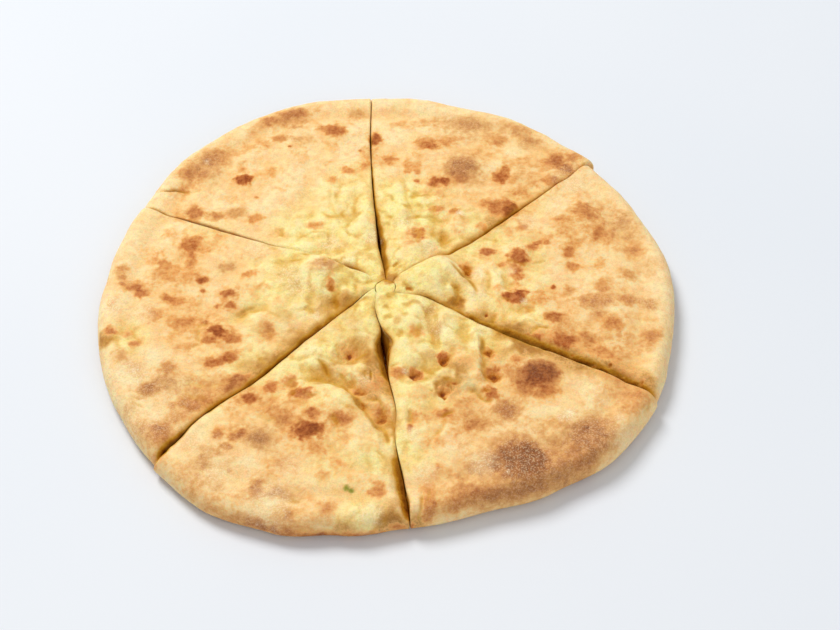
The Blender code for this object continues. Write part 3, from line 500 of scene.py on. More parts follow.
# Creases, grooves and ridges of the skin: (points, half width, height), finer than the folds.
CREASES = (
    # back left slice
    (((-16, 48), (-16.5, 57), (-16, 66)), 1.3, -.7), (((-53, 37), (-53.5, 44)), 1.2, -.7),
    (((-62, 33), (-58, 31), (-54, 28)), 1.2, -.6), (((-21, 50), (-22, 62), (-20, 70)), 1.6, .7),
    (((-12, 44), (-11, 58)), 1.6, .8), (((-31, 20.5), (-26, 19), (-21.5, 16.5)), 1, -2.6),
    (((-118, 70), (-109, 71), (-100, 69)), .45, -1.3), (((-100, 69), (-96, 71)), .4, -.5),
    (((-104, 70), (-101, 67)), .4, -.4), (((-44, 40), (-46, 52)), 1.6, .6),
    (((-34, 52), (-30, 62), (-31, 72)), 1.5, .6), (((-26, 56), (-27, 68)), 1.2, -.6),
    (((-52, 26), (-40, 30)), 1.8, .6), (((-40, 36), (-28, 38)), 1.6, -.5),
    # left slice
    (((-72, -15), (-66, -11.5), (-61, -9)), 1.3, -.9),
    (((-90, -21), (-89.5, -26), (-88, -30)), .8, -.8), (((-90, -21), (-85, -19)), .8, -.8),
    (((-88, -31), (-92, -34)), .8, -.5), (((-118, -62), (-113, -64), (-110, -62)), .5, -.6),
    (((-116, -66), (-111, -68)), .5, -.6), (((-120, -58), (-114, -60)), .5, -.5),
    (((-46, -8), (-40, -16)), 1.8, .6), (((-38, -4), (-34, -14)), 1.8, -.6),
    (((-56, 20), (-51, 17)), 1.2, -.6), (((-45, 14), (-43, 6), (-46, -1)), 1.5, -.4),
    (((-24, 4), (-25, -6), (-23, -12)), 1.2, -.8), (((-20, 2), (-20, -8)), 1, .6),
    (((-15, 4), (-16, -3)), 1, -.6),
    # front left slice
    (((-38, -51), (-32, -52), (-23, -55), (-19, -57)), 1.4, -1.1),
    (((-32, -41), (-28, -47), (-26, -52)), 1.1, -1), (((-29, -40), (-25, -46), (-22, -51)), 1, .8),
    (((-39, -52), (-40, -57), (-38, -62)), .9, .9), (((-43, -55), (-43, -62)), 1.2, -.8),
    (((-19, -47), (-14, -52), (-9, -56)), .9, 1.1),
    (((-22, -49), (-17, -55), (-12, -58)), .8, -.9),
    (((-14, -46), (-10, -50), (-9, -55)), .8, -.8), (((-12, -45), (-7, -50), (-4, -58)), .9, .8),
    (((-7, -48), (-7, -55)), .5, -1.4), (((-13, -64), (-7, -67), (-2, -69)), 1, .9),
    (((-16, -62), (-11, -69), (-6, -75), (-1, -83)), 1.2, -1.1),
    (((-8, -64), (-3, -66), (1, -71)), .7, -.8), (((-4, -76), (0, -82), (2, -90)), .8, -.9),
    (((-8, -76), (-4, -84), (-2, -91)), .9, .8), (((2, -75), (4.5, -82), (4.4, -90)), .7, -.8),
    (((-24, -30), (-25, -38), (-22, -45), (-15, -47)), 1.2, .9),
    (((-7, -28), (-6, -38), (-8, -46)), 1.2, .7), (((-30, -33), (-32, -42)), 1.3, .6),
    (((-6, -5), (-5, -12), (-4, -20)), .8, -.7), (((-22, -79), (-24, -74)), 1.2, -.8),
    (((-26, -86), (-20, -90), (-12, -90)), 1.2, .5), (((-60, -72), (-50, -76)), 1.6, -.5),
    (((-10, -92), (-14, -84)), 1.6, .6), (((-66, -120), (-50, -124), (-34, -125)), 2, -.4),
    (((-44, -118), (-36, -119)), 1.2, -.6), (((-30, -112), (-27, -106)), .8, -.4),
    # front right slice
    (((20, -14), (21, -22), (23, -28), (24, -36)), 1.2, -.7),
    (((26, -18), (26.5, -25), (26, -33)), 1.3, 1), (((24, -14), (28, -17)), 1, .6),
    (((21.5, -52.4), (25.5, -49.6), (29.4, -48.2), (33, -51.6), (36.7, -54.2), (39, -56)),
     .8, 1.2),
    (((6, -45), (9, -50), (11, -55)), 1.1, 1), (((16, -46), (20, -49), (24, -52)), .9, -.9),
    (((27, -65.6), (30.6, -61.9), (34.2, -59.5), (37, -57.4), (41.8, -57.6), (45.2, -60.6),
      (48, -63.8)), .8, 1.1),
    (((38.6, -60.6), (41.2, -60), (43.6, -62.6), (46, -65.6), (49, -67)), .8, -1.1),
    (((25, -75.2), (27.8, -72.9), (31.6, -72)), .8, -.9),
    (((21.4, -56), (23.8, -60.4), (26.4, -65.8)), .8, 1),
    (((31, -64), (36, -66), (41, -72)), .9, .9), (((18, -66), (16, -74), (19, -84)), 1.6, .9),
    (((11, -70), (12, -80)), 1.2, -.8), (((8, -66), (9, -78), (14, -90)), 1.4, .8),
    (((16, -116), (17, -124), (15, -131)), .6, -.9), (((20, -114), (19, -122)), .6, -.6),
    (((23, -116), (24, -123)), .6, -.5), (((120, -72), (122, -68), (123.5, -65)), .7, -1),
    (((51, -40), (53, -47), (52, -54)), 1.1, .8), (((38, -28), (37, -40)), 1.6, -.4),
    # right slice
    (((44, 15), (45, 11), (45, 5)), 1, .9), (((40, 18), (39, 13), (39, 7)), 1.7, -1.2),
    (((48, 14), (50, 8), (49, 1)), 1, -.8), (((52, 12), (54, 6), (53, -2)), 1.1, .7),
    (((6, 2), (10, 1), (13, -1)), 1, -.8), (((43, -8), (45, -12), (44, -17)), .9, .9),
    (((50, -19), (52, -12)), 1, -.9), (((56, -19), (60, -14)), 1, .9),
    (((60, -21), (66, -16), (70, -17), (75, -21)), .8, 1),
    (((68, -26), (72, -21), (78, -22)), .8, -.9),
    (((90, -37), (99, -40), (108, -44.5), (118, -51)), .9, .9),
    (((94, -41.5), (102, -44.5), (110, -49)), .7, -.8),
    (((112, -47), (117, -48), (124, -53)), .8, .8), (((76, -27), (84, -33), (92, -35)), .9, .7),
    (((61, -12), (66, -9), (72, -12)), 1.4, -.6), (((56, 16), (60, 22), (57, 28)), 1.3, .5),
    (((70, 18), (75, 22), (76, 28)), 1.1, .5),
    # back right slice
    (((28, 40), (27, 33)), 1.6, -1), (((10, 50), (7, 58)), 1.4, .6), (((5, 66), (4, 76)), 1.6, .6),
    (((12, 62), (14, 70)), 1.4, -.5), (((40, 48), (46, 52)), 1.6, -.5),
    (((2, 18), (5, 20)), .5, -.8), (((1, 50), (0, 62), (1, 72)), 1.2, .7),
    (((4, 26), (8, 20), (14, 22)), 1.4, .8), (((32, 42), (36, 48), (35, 56)), 1.4, .6),
    (((20, 30), (24, 37)), 1.4, .7), (((18, 58), (24, 64), (30, 62)), 1.3, .5),
)

# Where the skin is stretched smooth: (x, y, radius, strength).
SMOOTH = ((18, 8, 14, 1.0), (26, 12, 8, 1.0))

# Folds lying over the skin beside them: (points, height, reach behind the lip), raised on the
# left of the path's direction.
FLAPS = (
    (((-20, 15.5), (-25, 18), (-32, 20), (-37, 22), (-45, 24)), 1.2, 7),
    (((41, -7), (42, -1), (40, 4), (34, 10), (26, 18)), 1.3, 5),
    (((31, -8), (33, -3), (33, 1), (30, 5)), 1.1, 4),
    (((46, -60), (44, -48), (44, -36), (43, -24)), 1.5, 8),
    (((-4, -77), (-11, -69), (-16, -62), (-20, -57), (-28, -54), (-38, -53)), 1.2, 8),
    (((-60, -8), (-66, -11), (-74, -16)), .9, 6), (((-30, 74), (-28, 60), (-24, 48)), .6, 6),
    (((8, 78), (10, 66), (12, 54)), .6, 6), (((60, -4), (56, 4), (55, 14)), .7, 5),
    (((-46, -13), (-38, -9), (-32, -13)), .7, 5), (((30, -74), (26, -84), (20, -92)), .7, 6),
)

# Pits in the skin: (x, y, radius across, radius along y, depth, how dark), brown crust with
# painted shade darkest at their bottom.
PITS = (
    (-26, 20.5, 4.5, 2.6, 1.2, .5), (11, 0, 3, 2.2, .9, .8), (33.6, -5, 3.2, 5.4, 2, .35),
    (32, -9.6, 2.2, 2.4, .6, .4), (39, -13, 2.6, 2.2, 1.1, .5), (47, -14, 2, 3.4, 1.1, .8),
    (27, -42, 4, 4, 1.9, 1), (13, -50.5, 4.5, 3.6, 1.6, 1), (26.8, -59.6, 4.2, 3.8, 2.4, 1),
    (27, -62.8, 2.2, 2.4, .9, .9), (31.6, -56.4, 3.8, 2.2, 1.3, .7), (23.6, -56.4, 2.6, 3, .8, .3),
    (48.4, -39.6, 4.2, 5, 1.4, 1), (50, -51.4, 4.8, 4.8, 1.5, 1), (46, -61, 3.5, 2, .7, .8),
    (-17, -36, 7.2, 7.4, 1.4, .5), (-17, -36.6, 3, 2.4, 1, .9), (-11, -60.5, 5, 2.8, 1.1, .95),
    (-1, -74, 4.6, 4.2, 1.2, .85), (-10, -67, 3.4, 2.8, .7, .5), (-22, -79, 2.6, 2.4, .7, .5),
    (-26, 1, 3, 4, .6, .7), (-55, -25, 4, 5, .7, .35), (-43, -56, 4, 3.4, .8, .6),
    (-34, -63, 4, 3, .7, .6), (28, 38, 3, 4, .8, .4), (38, 14.6, 3.8, 5.6, .7, .85),
    (15, 38, 4, 5, .5, .5), (-36, 44, 5, 3, .6, .4), (5.5, -28, 3, 5, .6, .3),
    (14.5, -28, 4, 3.4, .3, .35), (60, 6, 3, 4, .5, .4), (97, -42, 2.4, 1.5, .6, .7),
    (104, -44.5, 2.6, 1.6, .7, .7), (111, -49, 2.4, 1.5, .6, .6), (118, -54, 2.6, 1.6, .6, .6),
    (88, -36, 2.6, 1.8, .6, .6), (20, 58, 3, 3, .5, .3), (-56, 40, 3, 4, .5, .3),
    (67, -12, 4, 3, .5, .4),
)

# Pale places, torn or floury skin and painted highlights: (x, y, radius, strength).
WHITE = (
    (-34, -15, 3, .6), (84, -74, 3.4, .8), (80, -76, 2, .6), (107, -76, 2.4, .5),
    (-6, -127, 6, .6), (-88, -86, 6, .3), (-117, -12, 7, .4), (36, 53, 2.4, 1), (20, 29, 5, .4),
    (-19, 20, 4, .5), (66, -6, 1.8, .6), (55, -106, 1.3, .8), (26, -26, 4.5, .5), (21, -21, 6, .4),
    (20, -11, 5, .4), (-50, -121, 13, .45), (-43, -101, 8, .35), (-112, -76, 12, .2),
    (18, -106, 7, .35), (111, -86, 8, .4), (31, 128, 6, .3), (44, -101, 8, .35), (-8, 36, 5, .7),
    (45, -24, 5, .5), (-10, -54, 3.5, .5), (9, -49, 2, .7), (-36, -36, 4, .4), (-29, 33, 6, .5),
    (8, 46, 6, .6), (-43, 2, 7, .5), (44, 12, 4, .6), (-48, 11, 8, .5), (-119, -48, 8, .6),
    (-134, -7, 7, .7), (43, -100, 7, .3), (34, -91, 7, .3), (-64, 28, 7, .4), (60, 14, 3, .4),
    (-94, 90, 1.8, .6), (70, 48, 6, .4), (12, -85, 5, .5), (-75, -104, 6, .4), (-60, -100, 5, .3),
    (94, 74, 6, .4),
)
HERB = ((-16.8, -112.8, 1.7, 1), (-14.6, -113.9, 1.5, 1))   # a green fleck, likewise

# Puffed lobes with steep sides: (x, y, radius along, radius across, turn, height).
LOBES = (
    (-27, 8, 19, 12, -15, 2), (-34, 13, 6, 5, 0, .8), (-13, 19, 11, 8.5, -28, 1.6),
    (-20, 38, 12, 9, 10, 1), (18, 9.5, 18, 9, 24, 1.7), (34, 2, 5, 7, 0, 1.2),
    (11, -14, 10, 11, 0, 1.4), (29, -20, 6, 12, 5, 1.5), (12, -37, 9, 9, 0, 1.2),
    (35, -42, 5, 12, 0, 1), (12, -64, 7, 11, 0, 1.2), (14, -86, 5, 8, 0, .5),
    (-13, -17, 9, 10, 30, 1.1), (-36, -40, 11, 7, 42, 1.2), (-32, -68, 17, 12, 10, 1.1),
    (-9, -86, 8, 12, -20, 1), (50, 10, 7, 12, 10, 1.2), (-60, 10, 14, 9, 0, .9),
    (-30, 56, 8, 14, 0, 1.1), (12, 34, 9, 10, 0, 1.1), (-12, 58, 5, 16, 0, 1),
    (34, 46, 12, 8, 40, 1), (59, -41, 14, 10, -20, .9), (-54, -14, 12, 8, 20, 1),
    (6, 62, 5, 14, 0, .8), (62, 26, 8, 7, 0, .8), (-46, 30, 8, 7, 0, .8), (22, 60, 7, 8, 0, .7),
)


# --- noise -----------------------------------------------------------------------------------

def lattice(ix, iy, seed):
    """A repeatable number in 0..1 for each cell of a grid, by an integer hash."""
    h = ix.astype(np.int64) * 374761393 + iy.astype(np.int64) * 668265263 + seed * 1274126177
    h = (h ^ (h >> 13)) & 0xFFFFFFFF
    h = (h * 1103515245 + 12345) & 0xFFFFFFFF
    h = ((h ^ (h >> 16)) * 668265263) & 0xFFFFFFFF
    return ((h ^ (h >> 15)) & 0xFFFFFF) / float(0xFFFFFF)


def wave(x, y, seed):
    """Smooth gradient noise, about -1..1."""
    ix, iy = np.floor(x), np.floor(y)
    fx, fy = x - ix, y - iy
    u = fx * fx * fx * (fx * (fx * 6 - 15) + 10)
    v = fy * fy * fy * (fy * (fy * 6 - 15) + 10)
    total = 0.0
    for dx, wx in ((0, 1 - u), (1, u)):
        for dy, wy in ((0, 1 - v), (1, v)):
            turn = lattice(ix + dx, iy + dy, seed) * math.tau
            total = total + wx * wy * (np.cos(turn) * (fx - dx) + np.sin(turn) * (fy - dy))
    return total * WAVE_GAIN


def cloud(x, y, length, octaves, seed):
    """Waves of halving length added up, about -1..1."""
    total, weight, size = 0.0, 0.0, 1.0
    shift_x, shift_y = OCTAVE_SHIFT
    for k in range(octaves):
        total = total + size * wave(x / length + shift_x * k, y / length + shift_y * k, seed + k)
        weight += size
        size *= 0.5
        length *= 0.5
    return total / weight


def pattern(name, x, y):
    """The cloud of that name, times its amount."""
    length, octaves, seed, amount = PATTERNS[name]
    return cloud(x, y, length, octaves, seed) * amount


def ridges(x, y, length, octaves, seed):
    """Sharp-crested waves, 0..1 with 1 on the crests."""
    total, weight, size = 0.0, 0.0, 1.0
    for k in range(octaves):
        fold = 1 - np.minimum(1, np.abs(wave(x / length, y / length, seed + k)) * RIDGE_SHARPNESS)
        total = total + size * fold * fold
        weight += size
        size *= 0.5
        length *= RIDGE_SHRINK
    return total / weight


# --- small helpers ---------------------------------------------------------------------------

def ease(low, high, value):
    """0 below low, 1 above high, smooth between."""
    share = np.clip((value - low) / (high - low), 0, 1)
    return share * share * (3 - 2 * share)


def fading(away, reach):
    """1 at no distance, falling evenly to 0 at the reach."""
    return 1 - np.clip(away / reach, 0, 1)


def between(first, second, share):
    return first * (1 - share) + second * share


def run_along(line):
    """The distance along a line of points, from its first."""
    return np.concatenate([[0], np.cumsum(np.linalg.norm(np.diff(line, axis=0), axis=1))])


def from_hub(x, y, px, py):
    return x - HUB[0] - px * MM, y - HUB[1] - py * MM


def round_distance(x, y, px, py, radius):
    """Distance from a round patch's centre, 1 at its radius."""
    return np.hypot(*from_hub(x, y, px, py)) / (radius * MM)


def oval_distance(x, y, px, py, along, across, turn=0):
    """Distance from an oval patch's centre, 1 on its edge."""
    c, s = math.cos(math.radians(turn)), math.sin(math.radians(turn))
    dx, dy = from_hub(x, y, px, py)
    return np.hypot((dx * c + dy * s) / along, (dy * c - dx * s) / across) / MM


def nearby(x, y, points, reach):
    """Which places lie within reach of the points' box, in millimetres from the hub."""
    low, high = np.min(points, axis=0), np.max(points, axis=0)
    return ((x > HUB[0] + (low[0] - reach) * MM) & (x < HUB[0] + (high[0] + reach) * MM)
            & (y > HUB[1] + (low[1] - reach) * MM) & (y < HUB[1] + (high[1] + reach) * MM))


def path_distance(x, y, points):
    """Distance to a path of straight runs, the share of its length there, and 1 on its left."""
    path = np.array(points, float) * MM + HUB
    starts = run_along(path)
    best = np.full(x.shape, np.inf)
    share, side = np.zeros(x.shape), np.ones(x.shape)
    for k, length in enumerate(np.linalg.norm(np.diff(path, axis=0), axis=1)):
        dx, dy = (path[k + 1] - path[k]) / length
        run = np.clip((x - path[k, 0]) * dx + (y - path[k, 1]) * dy, 0, length)
        away = np.hypot(x - path[k, 0] - run * dx, y - path[k, 1] - run * dy)
        nearer = away < best
        best = np.where(nearer, away, best)
        share = np.where(nearer, (starts[k] + run) / starts[-1], share)
        left = (y - path[k, 1]) * dx - (x - path[k, 0]) * dy
        side = np.where(nearer, np.where(left >= 0, 1, -1), side)
    return best, share, side


def soften(grid, cells):
    """Average over a window of cells each way, twice."""
    for axis in (0, 1, 0, 1):
        pad = [(cells, cells) if k == axis else (0, 0) for k in (0, 1)]
        total = np.cumsum(np.pad(grid, pad, mode="edge"), axis=axis)
        total = np.insert(total, 0, 0.0, axis=axis)
        span = 2 * cells + 1
        low = [slice(None, -span) if k == axis else slice(None) for k in (0, 1)]
        high = [slice(span, None) if k == axis else slice(None) for k in (0, 1)]
        grid = (total[tuple(high)] - total[tuple(low)]) / span
    return grid


# --- plan ------------------------------------------------------------------------------------

def ring_point(angle_deg, radius):
    angle = math.radians(angle_deg)
    return HUB + TIP_MIDDLE + radius * np.array((math.cos(angle), math.sin(angle)))


def smooth_curve(points):
    """Points about CURVE_STEP apart on a Catmull-Rom curve through the given ones."""
    padded = [2 * points[0] - points[1], *points, 2 * points[-1] - points[-2]]
    runs = []
    for a, b, c, d in zip(padded, padded[1:], padded[2:], padded[3:]):
        steps = max(2, int(np.linalg.norm(c - b) / CURVE_STEP))
        s = np.arange(steps)[:, None] / steps
        runs.append(0.5 * (2 * b + (c - a) * s + (2 * a - 5 * b + 4 * c - d) * s * s
                           + (3 * b - a - 3 * c + d) * s ** 3))
    return np.vstack(runs + [points[-1][None]])


def at_share(curve, shares):
    """Places at shares of the way along a curve's points."""
    place = np.clip(shares, 0, 1) * (len(curve) - 1)
    index = np.arange(len(curve))
    return np.stack([np.interp(place, index, curve[:, k]) for k in range(curve.shape[1])], -1)


def slice_edge(cut_name, side, rim_limit):
    """One side of a slice from the tip ring out, as x, y, distance along and half gap."""
    cut = CUTS[cut_name]
    start = ring_point(cut["ring_angle"], TIP_RING_RADIUS)
    curve = smooth_curve([start] + [HUB + np.array(p) * MM for p in cut["points"]])
    here, after = curve[:-1], curve[1:]
    before = np.vstack([2 * curve[:1] - curve[1:2], curve[:-2]])
    distance = np.cumsum(np.linalg.norm(here - before, axis=1))
    along = after - before
    along /= np.linalg.norm(along, axis=1)[:, None]
    across = np.stack([-along[:, 1], along[:, 0]], 1) * side
    half_gap = np.full(len(here), SEAM_GAP / 2)
    for middle, half_width, reach in cut["opening"]:
        half_gap += half_width * MM * np.exp(-((distance - middle * MM) / (reach * MM)) ** 2)
    plan = here + across * half_gap[:, None]
    edge = np.column_stack([plan, distance, half_gap])
    past = np.nonzero(np.linalg.norm(here, axis=1) > rim_limit)[0]
    return edge[:past[0] + 1] if len(past) else edge


def disc_side(cut_name, edge_start):
    """The way from the crown of the tip's disc round to where the slice's side starts."""
    shoulder = DISC_SHOULDER_ANGLES[cut_name]
    turn = CUTS[cut_name]["ring_angle"] - shoulder
    arc = [ring_point(shoulder + turn * k / DISC_ARC_STEPS, TIP_DISC_RADIUS)
           for k in range(DISC_ARC_STEPS)]
    return np.vstack(arc + [edge_start])


def rim_radius(piece, share):
    """The outline's radius at shares of the way from the slice's first cut to its second."""
    stations = np.array(piece["rim"]) * MM
    place = share * (len(stations) - 1)
    index = np.minimum(place.astype(int), len(stations) - 2)
    s = place - index
    return between(stations[index], stations[index + 1], s * s * (3 - 2 * s))


class Patch:
    """The plan of one slice, on a grid of across and along shares."""

    def __init__(self, piece, has_disc):
        self.piece, self.has_disc = piece, has_disc
        self.edges = [slice_edge(cut, sign, piece["rim"][end] * MM - RIM_REACH)
                      for cut, sign, end in zip(piece["cuts"], (1, -1), (0, -1))]
        if has_disc:
            self.leads = [disc_side(cut, edge[0, :2])
                          for cut, edge in zip(piece["cuts"], self.edges)]
        starts = [self.side(k, np.zeros(1))[0, :2] for k in (0, 1)]
        middle = HUB + TIP_MIDDLE
        if has_disc:
            crown = middle + np.array((0, TIP_DISC_RADIUS))
        else:
            outward = (starts[0] + starts[1]) / 2 - middle
            crown = middle + outward / np.linalg.norm(outward) * TIP_RING_RADIUS
        self.tip = smooth_curve([starts[0], crown, starts[1]])
        angles = [math.atan2(edge[-1, 1], edge[-1, 0]) for edge in self.edges]
        self.first_angle = angles[0]
        self.turn = (angles[1] - angles[0]) % math.tau

    def side(self, which, along):
        """x, y, distance along the cut and half gap, at shares of the way to the rim."""
        edge = self.edges[which]
        if not self.has_disc:
            return at_share(edge, along)
        outer = at_share(edge, (along - KNEE) / (1 - KNEE))
        lead = at_share(self.leads[which], along / KNEE)
        near = (along < KNEE)[:, None]
        lead = np.column_stack([lead, np.zeros(len(lead)), np.full(len(lead), SEAM_GAP / 2)])
        return np.where(near, lead, outer)

    def rim(self, across):
        angle = self.first_angle + self.turn * across
        radius = rim_radius(self.piece, across) - RIM_REACH
        return radius[:, None] * np.stack([np.cos(angle), np.sin(angle)], 1)

    def points(self, across, along):
        """Plan places as [along, across, xy], for across shares of shape [along, across]."""
        first, second = self.side(0, along)[:, :2], self.side(1, along)[:, :2]
        a, s = across[..., None], along[:, None, None]
        sides = between(first[:, None], second[:, None], a)
        tip = at_share(self.tip, across)
        rim = self.rim(across.ravel()).reshape(*across.shape, 2)
        near = between(first[0], second[0], a)
        far = between(*self.rim(np.array((0.0, 1.0))), a)
        return sides + tip * (1 - s) + rim * s - near * (1 - s) - far * s

    def width(self, along):
        return np.linalg.norm(self.side(0, along)[:, :2] - self.side(1, along)[:, :2], axis=1)


# --- heights and masks of the skin -----------------------------------------------------------

def swell(x, y):
    scale = 1 / SWELL_LENGTH
    flat = [noise.noise(Vector((a * scale, b * scale, 0))) for a, b in zip(x.ravel(), y.ravel())]
    return np.array(flat).reshape(x.shape)


def main_form(piece, x, y, outline):
    """The slice's top: the solids' dome, groove, swell, bumps and folds, and one hub."""
    share = np.hypot(x, y) / outline
    height = MIDDLE_HEIGHT + (SHOULDER_HEIGHT - MIDDLE_HEIGHT) * ease(0, SHOULDER_SHARE, share)
    height -= GROOVE_DEPTH * np.exp(-((share - GROOVE_SHARE) / GROOVE_WIDTH_SHARE) ** 2)
    middle = HUB + TIP_MIDDLE
    near = np.exp(-(np.hypot(x - middle[0], y - middle[1]) / HUB_REACH) ** 4)
    height += SWELL_HEIGHT * swell(x, y) + piece["lift"] * MM * (1 - near) + HUB_LIFT * near
    for bx, by, radius, rise in (*piece["bumps"], HUB_BUMP):
        away = round_distance(x, y, bx, by, radius)
        height += rise * MM * np.exp(-away * away)
    for points, half_width, rise in piece["folds"]:
        away = path_distance(x, y, points)[0] / (half_width * MM)
        height += rise * MM * np.exp(-away * away)
    return height


def spread(table, x, y, ragged=0.0):
    """How strongly the round patches of a table cover each place, 0..1."""
    open_share = np.ones(x.shape)
    for px, py, radius, strength in table:
        away = round_distance(x, y, px, py, radius)
        open_share *= 1 - strength * (1 - ease(*PATCH_EDGE, away + ragged))
    return 1 - open_share


def browning(x, y):
    """Browning, how grey it is, and the rise of the blisters under it."""
    warped_x, warped_y = x + pattern("spot warp x", x, y), y + pattern("spot warp y", x, y)
    ragged = pattern("ragged spots", x, y)
    open_share = np.ones(x.shape)
    grey_sum = np.zeros(x.shape)
    weight = np.full(x.shape, 1e-6)
    rise = np.zeros(x.shape)
    for px, py, along, across, turn, strength, grey in SPOTS:
        near = nearby(x, y, ((px, py),), SPOT_BOX * max(along, across) + 3)
        away = oval_distance(warped_x[near], warped_y[near], px, py, along, across, turn)
        bare = 1 - min(1, 2 * grey)
        torn = away + ragged[near] * (0.5 + bare)
        inner = 0.1 + 0.3 * strength + 0.15 * bare
        outer = 1.6 - 0.3 * strength - 0.3 * bare
        core = CORE_BROWN * strength ** 1.2 * (1 - ease(inner, outer, torn))
        halo = HALO_BROWN * min(1, strength + 0.2) * (1 - ease(*HALO_EDGE, torn))
        cover = 1 - (1 - core) * (1 - halo)
        open_share[near] *= 1 - cover
        grey_sum[near] += cover * grey
        weight[near] += cover
        rise[near] += (BLISTER_RISE * min(along, across) * MM * strength
                       * np.exp(-(away / BLISTER_SHARE) ** 4))
    return 1 - open_share, grey_sum / weight, rise


def fold_relief(x, y):
    """Height, crease and pit masks of the drawn lobes, creases, flaps and pits."""
    relief, crease, pit = np.zeros(x.shape), np.zeros(x.shape), np.zeros(x.shape)
    for px, py, along, across, turn, rise in LOBES:
        relief += rise * MM * np.exp(-oval_distance(x, y, px, py, along, across, turn) ** 4)
    uneven = 0.75 + pattern("uneven folds", x, y)
    for points, half_width, depth in CREASES:
        near = nearby(x, y, points, 4 * half_width + 2)
        away, run, _ = path_distance(x[near], y[near], points)
        taper = np.sqrt(np.clip(np.minimum(run, 1 - run) * 5, 0.08, 1))
        shape = np.exp(-(away / (CREASE_SPREAD * half_width * MM)) ** 2) * taper * uneven[near]
        relief[near] += CREASE_GAIN * depth * MM * shape
        # painted shade in the deeper creases
        if depth < 0:
            crease[near] = np.maximum(crease[near], shape * min(1.0, -depth / CREASE_FULL))
    for points, rise, reach in FLAPS:
        near = nearby(x, y, points, 2.5 * reach + 2)
        away, run, side = path_distance(x[near], y[near], points)
        taper = ease(0, FLAP_TAPER, np.minimum(run, 1 - run))
        past = away * side / MM
        lip = ease(*FLAP_LIP, past) * np.exp(-np.maximum(past, 0) / reach)
        groove = np.exp(-((past + GROOVE_PLACE) / GROOVE_WIDTH) ** 2) * taper * uneven[near]
        relief[near] += rise * MM * (lip * taper - GROOVE_GAIN * groove)
        # painted shade in the groove before the flap
        crease[near] = np.maximum(crease[near], groove * min(1.0, rise / FLAP_FULL))
    ragged = pattern("ragged pits", x, y)
    x = x + pattern("pit warp x", x, y)
    y = y + pattern("pit warp y", x, y)
    for px, py, across, along, depth, pit_darkness in PITS:
        near = nearby(x, y, ((px, py),), 2 * max(across, along) + 1)
        away = oval_distance(x[near], y[near], px, py, across, along) * (1 + ragged[near])
        bowl = 1 - ease(*PIT_EDGE, away)
        relief[near] -= depth * MM * bowl
        # brown crust with painted shade, darkest at the pit's bottom
        pit[near] = np.maximum(pit[near], pit_darkness * bowl ** 1.3 * (0.7 + 0.5 * uneven[near]))
    return relief, crease, pit


def surface(x, y, outline):
    """Relief of the skin on the main form, and its masks, at places on the top."""
    share = np.hypot(x, y) / outline
    yellow = spread(YELLOW, x, y, pattern("yellow edge", x, y))
    brown, grey, relief = browning(x, y)
    bend_x, bend_y = x + pattern("bend x", x, y), y + pattern("bend y", x, y)
    pillow = sum(amount * np.sqrt(wave(bend_x / length, bend_y / length, seed) ** 2
                                  + PILLOW_SOFTNESS) for length, seed, amount in PILLOWS)
    pillow += (1 - pillow) * spread(SMOOTH, x, y)
    rough = OUTER_ROUGHNESS + (1 - OUTER_ROUGHNESS) * yellow
    relief = relief + (ridges(bend_x, bend_y, *WRINKLES) - 0.35) * WRINKLE_HEIGHT * rough
    relief = relief + pattern("pucker", bend_x, bend_y) * rough
    relief += (pillow - 0.45) * PILLOW_HEIGHT * rough
    relief += pattern("swells", x, y) + pattern("grain", x, y)
    folds, crease, pit = fold_relief((bend_x + x) / 2, (bend_y + y) / 2)
    relief += folds
    mottle = sum(ease(low, high, pattern(name, x, y)) * amount
                 for name, low, high, amount in MOTTLES)
    mottle *= 0.35 + 0.65 * ease(-0.3, 0.4, pattern("mottle zones", x, y))
    # less mottle in the butter and near the middle, and at the rim as painted light
    mottle *= (1 - 0.6 * yellow) * ease(0.10, 0.4, share) * (1 - 0.6 * ease(0.9, 1.0, share))
    tan = spread(TAN, x, y, pattern("tan edge", x, y))
    brown = 1 - (1 - brown) * (1 - mottle)
    brown = 1 - (1 - brown) * (1 - TAN_BROWN * tan)
    # mustard painted shade
    painted_shade = spread(PAINTED_SHADE_PATCHES, x, y, pattern("painted shade edge", x, y))
    flour = spread(FLOUR_AND_LIGHT, x, y, pattern("flour edge", x, y))
    # flour towards the rim, its last step painted light
    flour = np.maximum(flour, sum(RIM_FLOUR_AND_LIGHT * ease(*edge, share) for edge in RIM_FLOUR_AND_LIGHT_EDGES))
    flour *= 1 - FLOUR_UNDER_SHADE * painted_shade
    grey = np.maximum(grey, np.maximum(0.5 * tan, 0.5 * flour))
    return relief, {
        "brown": brown, "grey": grey, "yellow": yellow, "flour": flour, "painted_shade": painted_shade,
        # painted shade in the valleys between the pillows of the yellow middle
        "crease": np.maximum(crease, 0.50 * yellow * (1 - ease(0.12, 0.34, pillow))), "pit": pit,
        "white": spread(WHITE, x, y, pattern("white edge", x, y)),
        "herb": spread(HERB, x, y, pattern("herb edge", x, y))}


# --- slices ----------------------------------------------------------------------------------

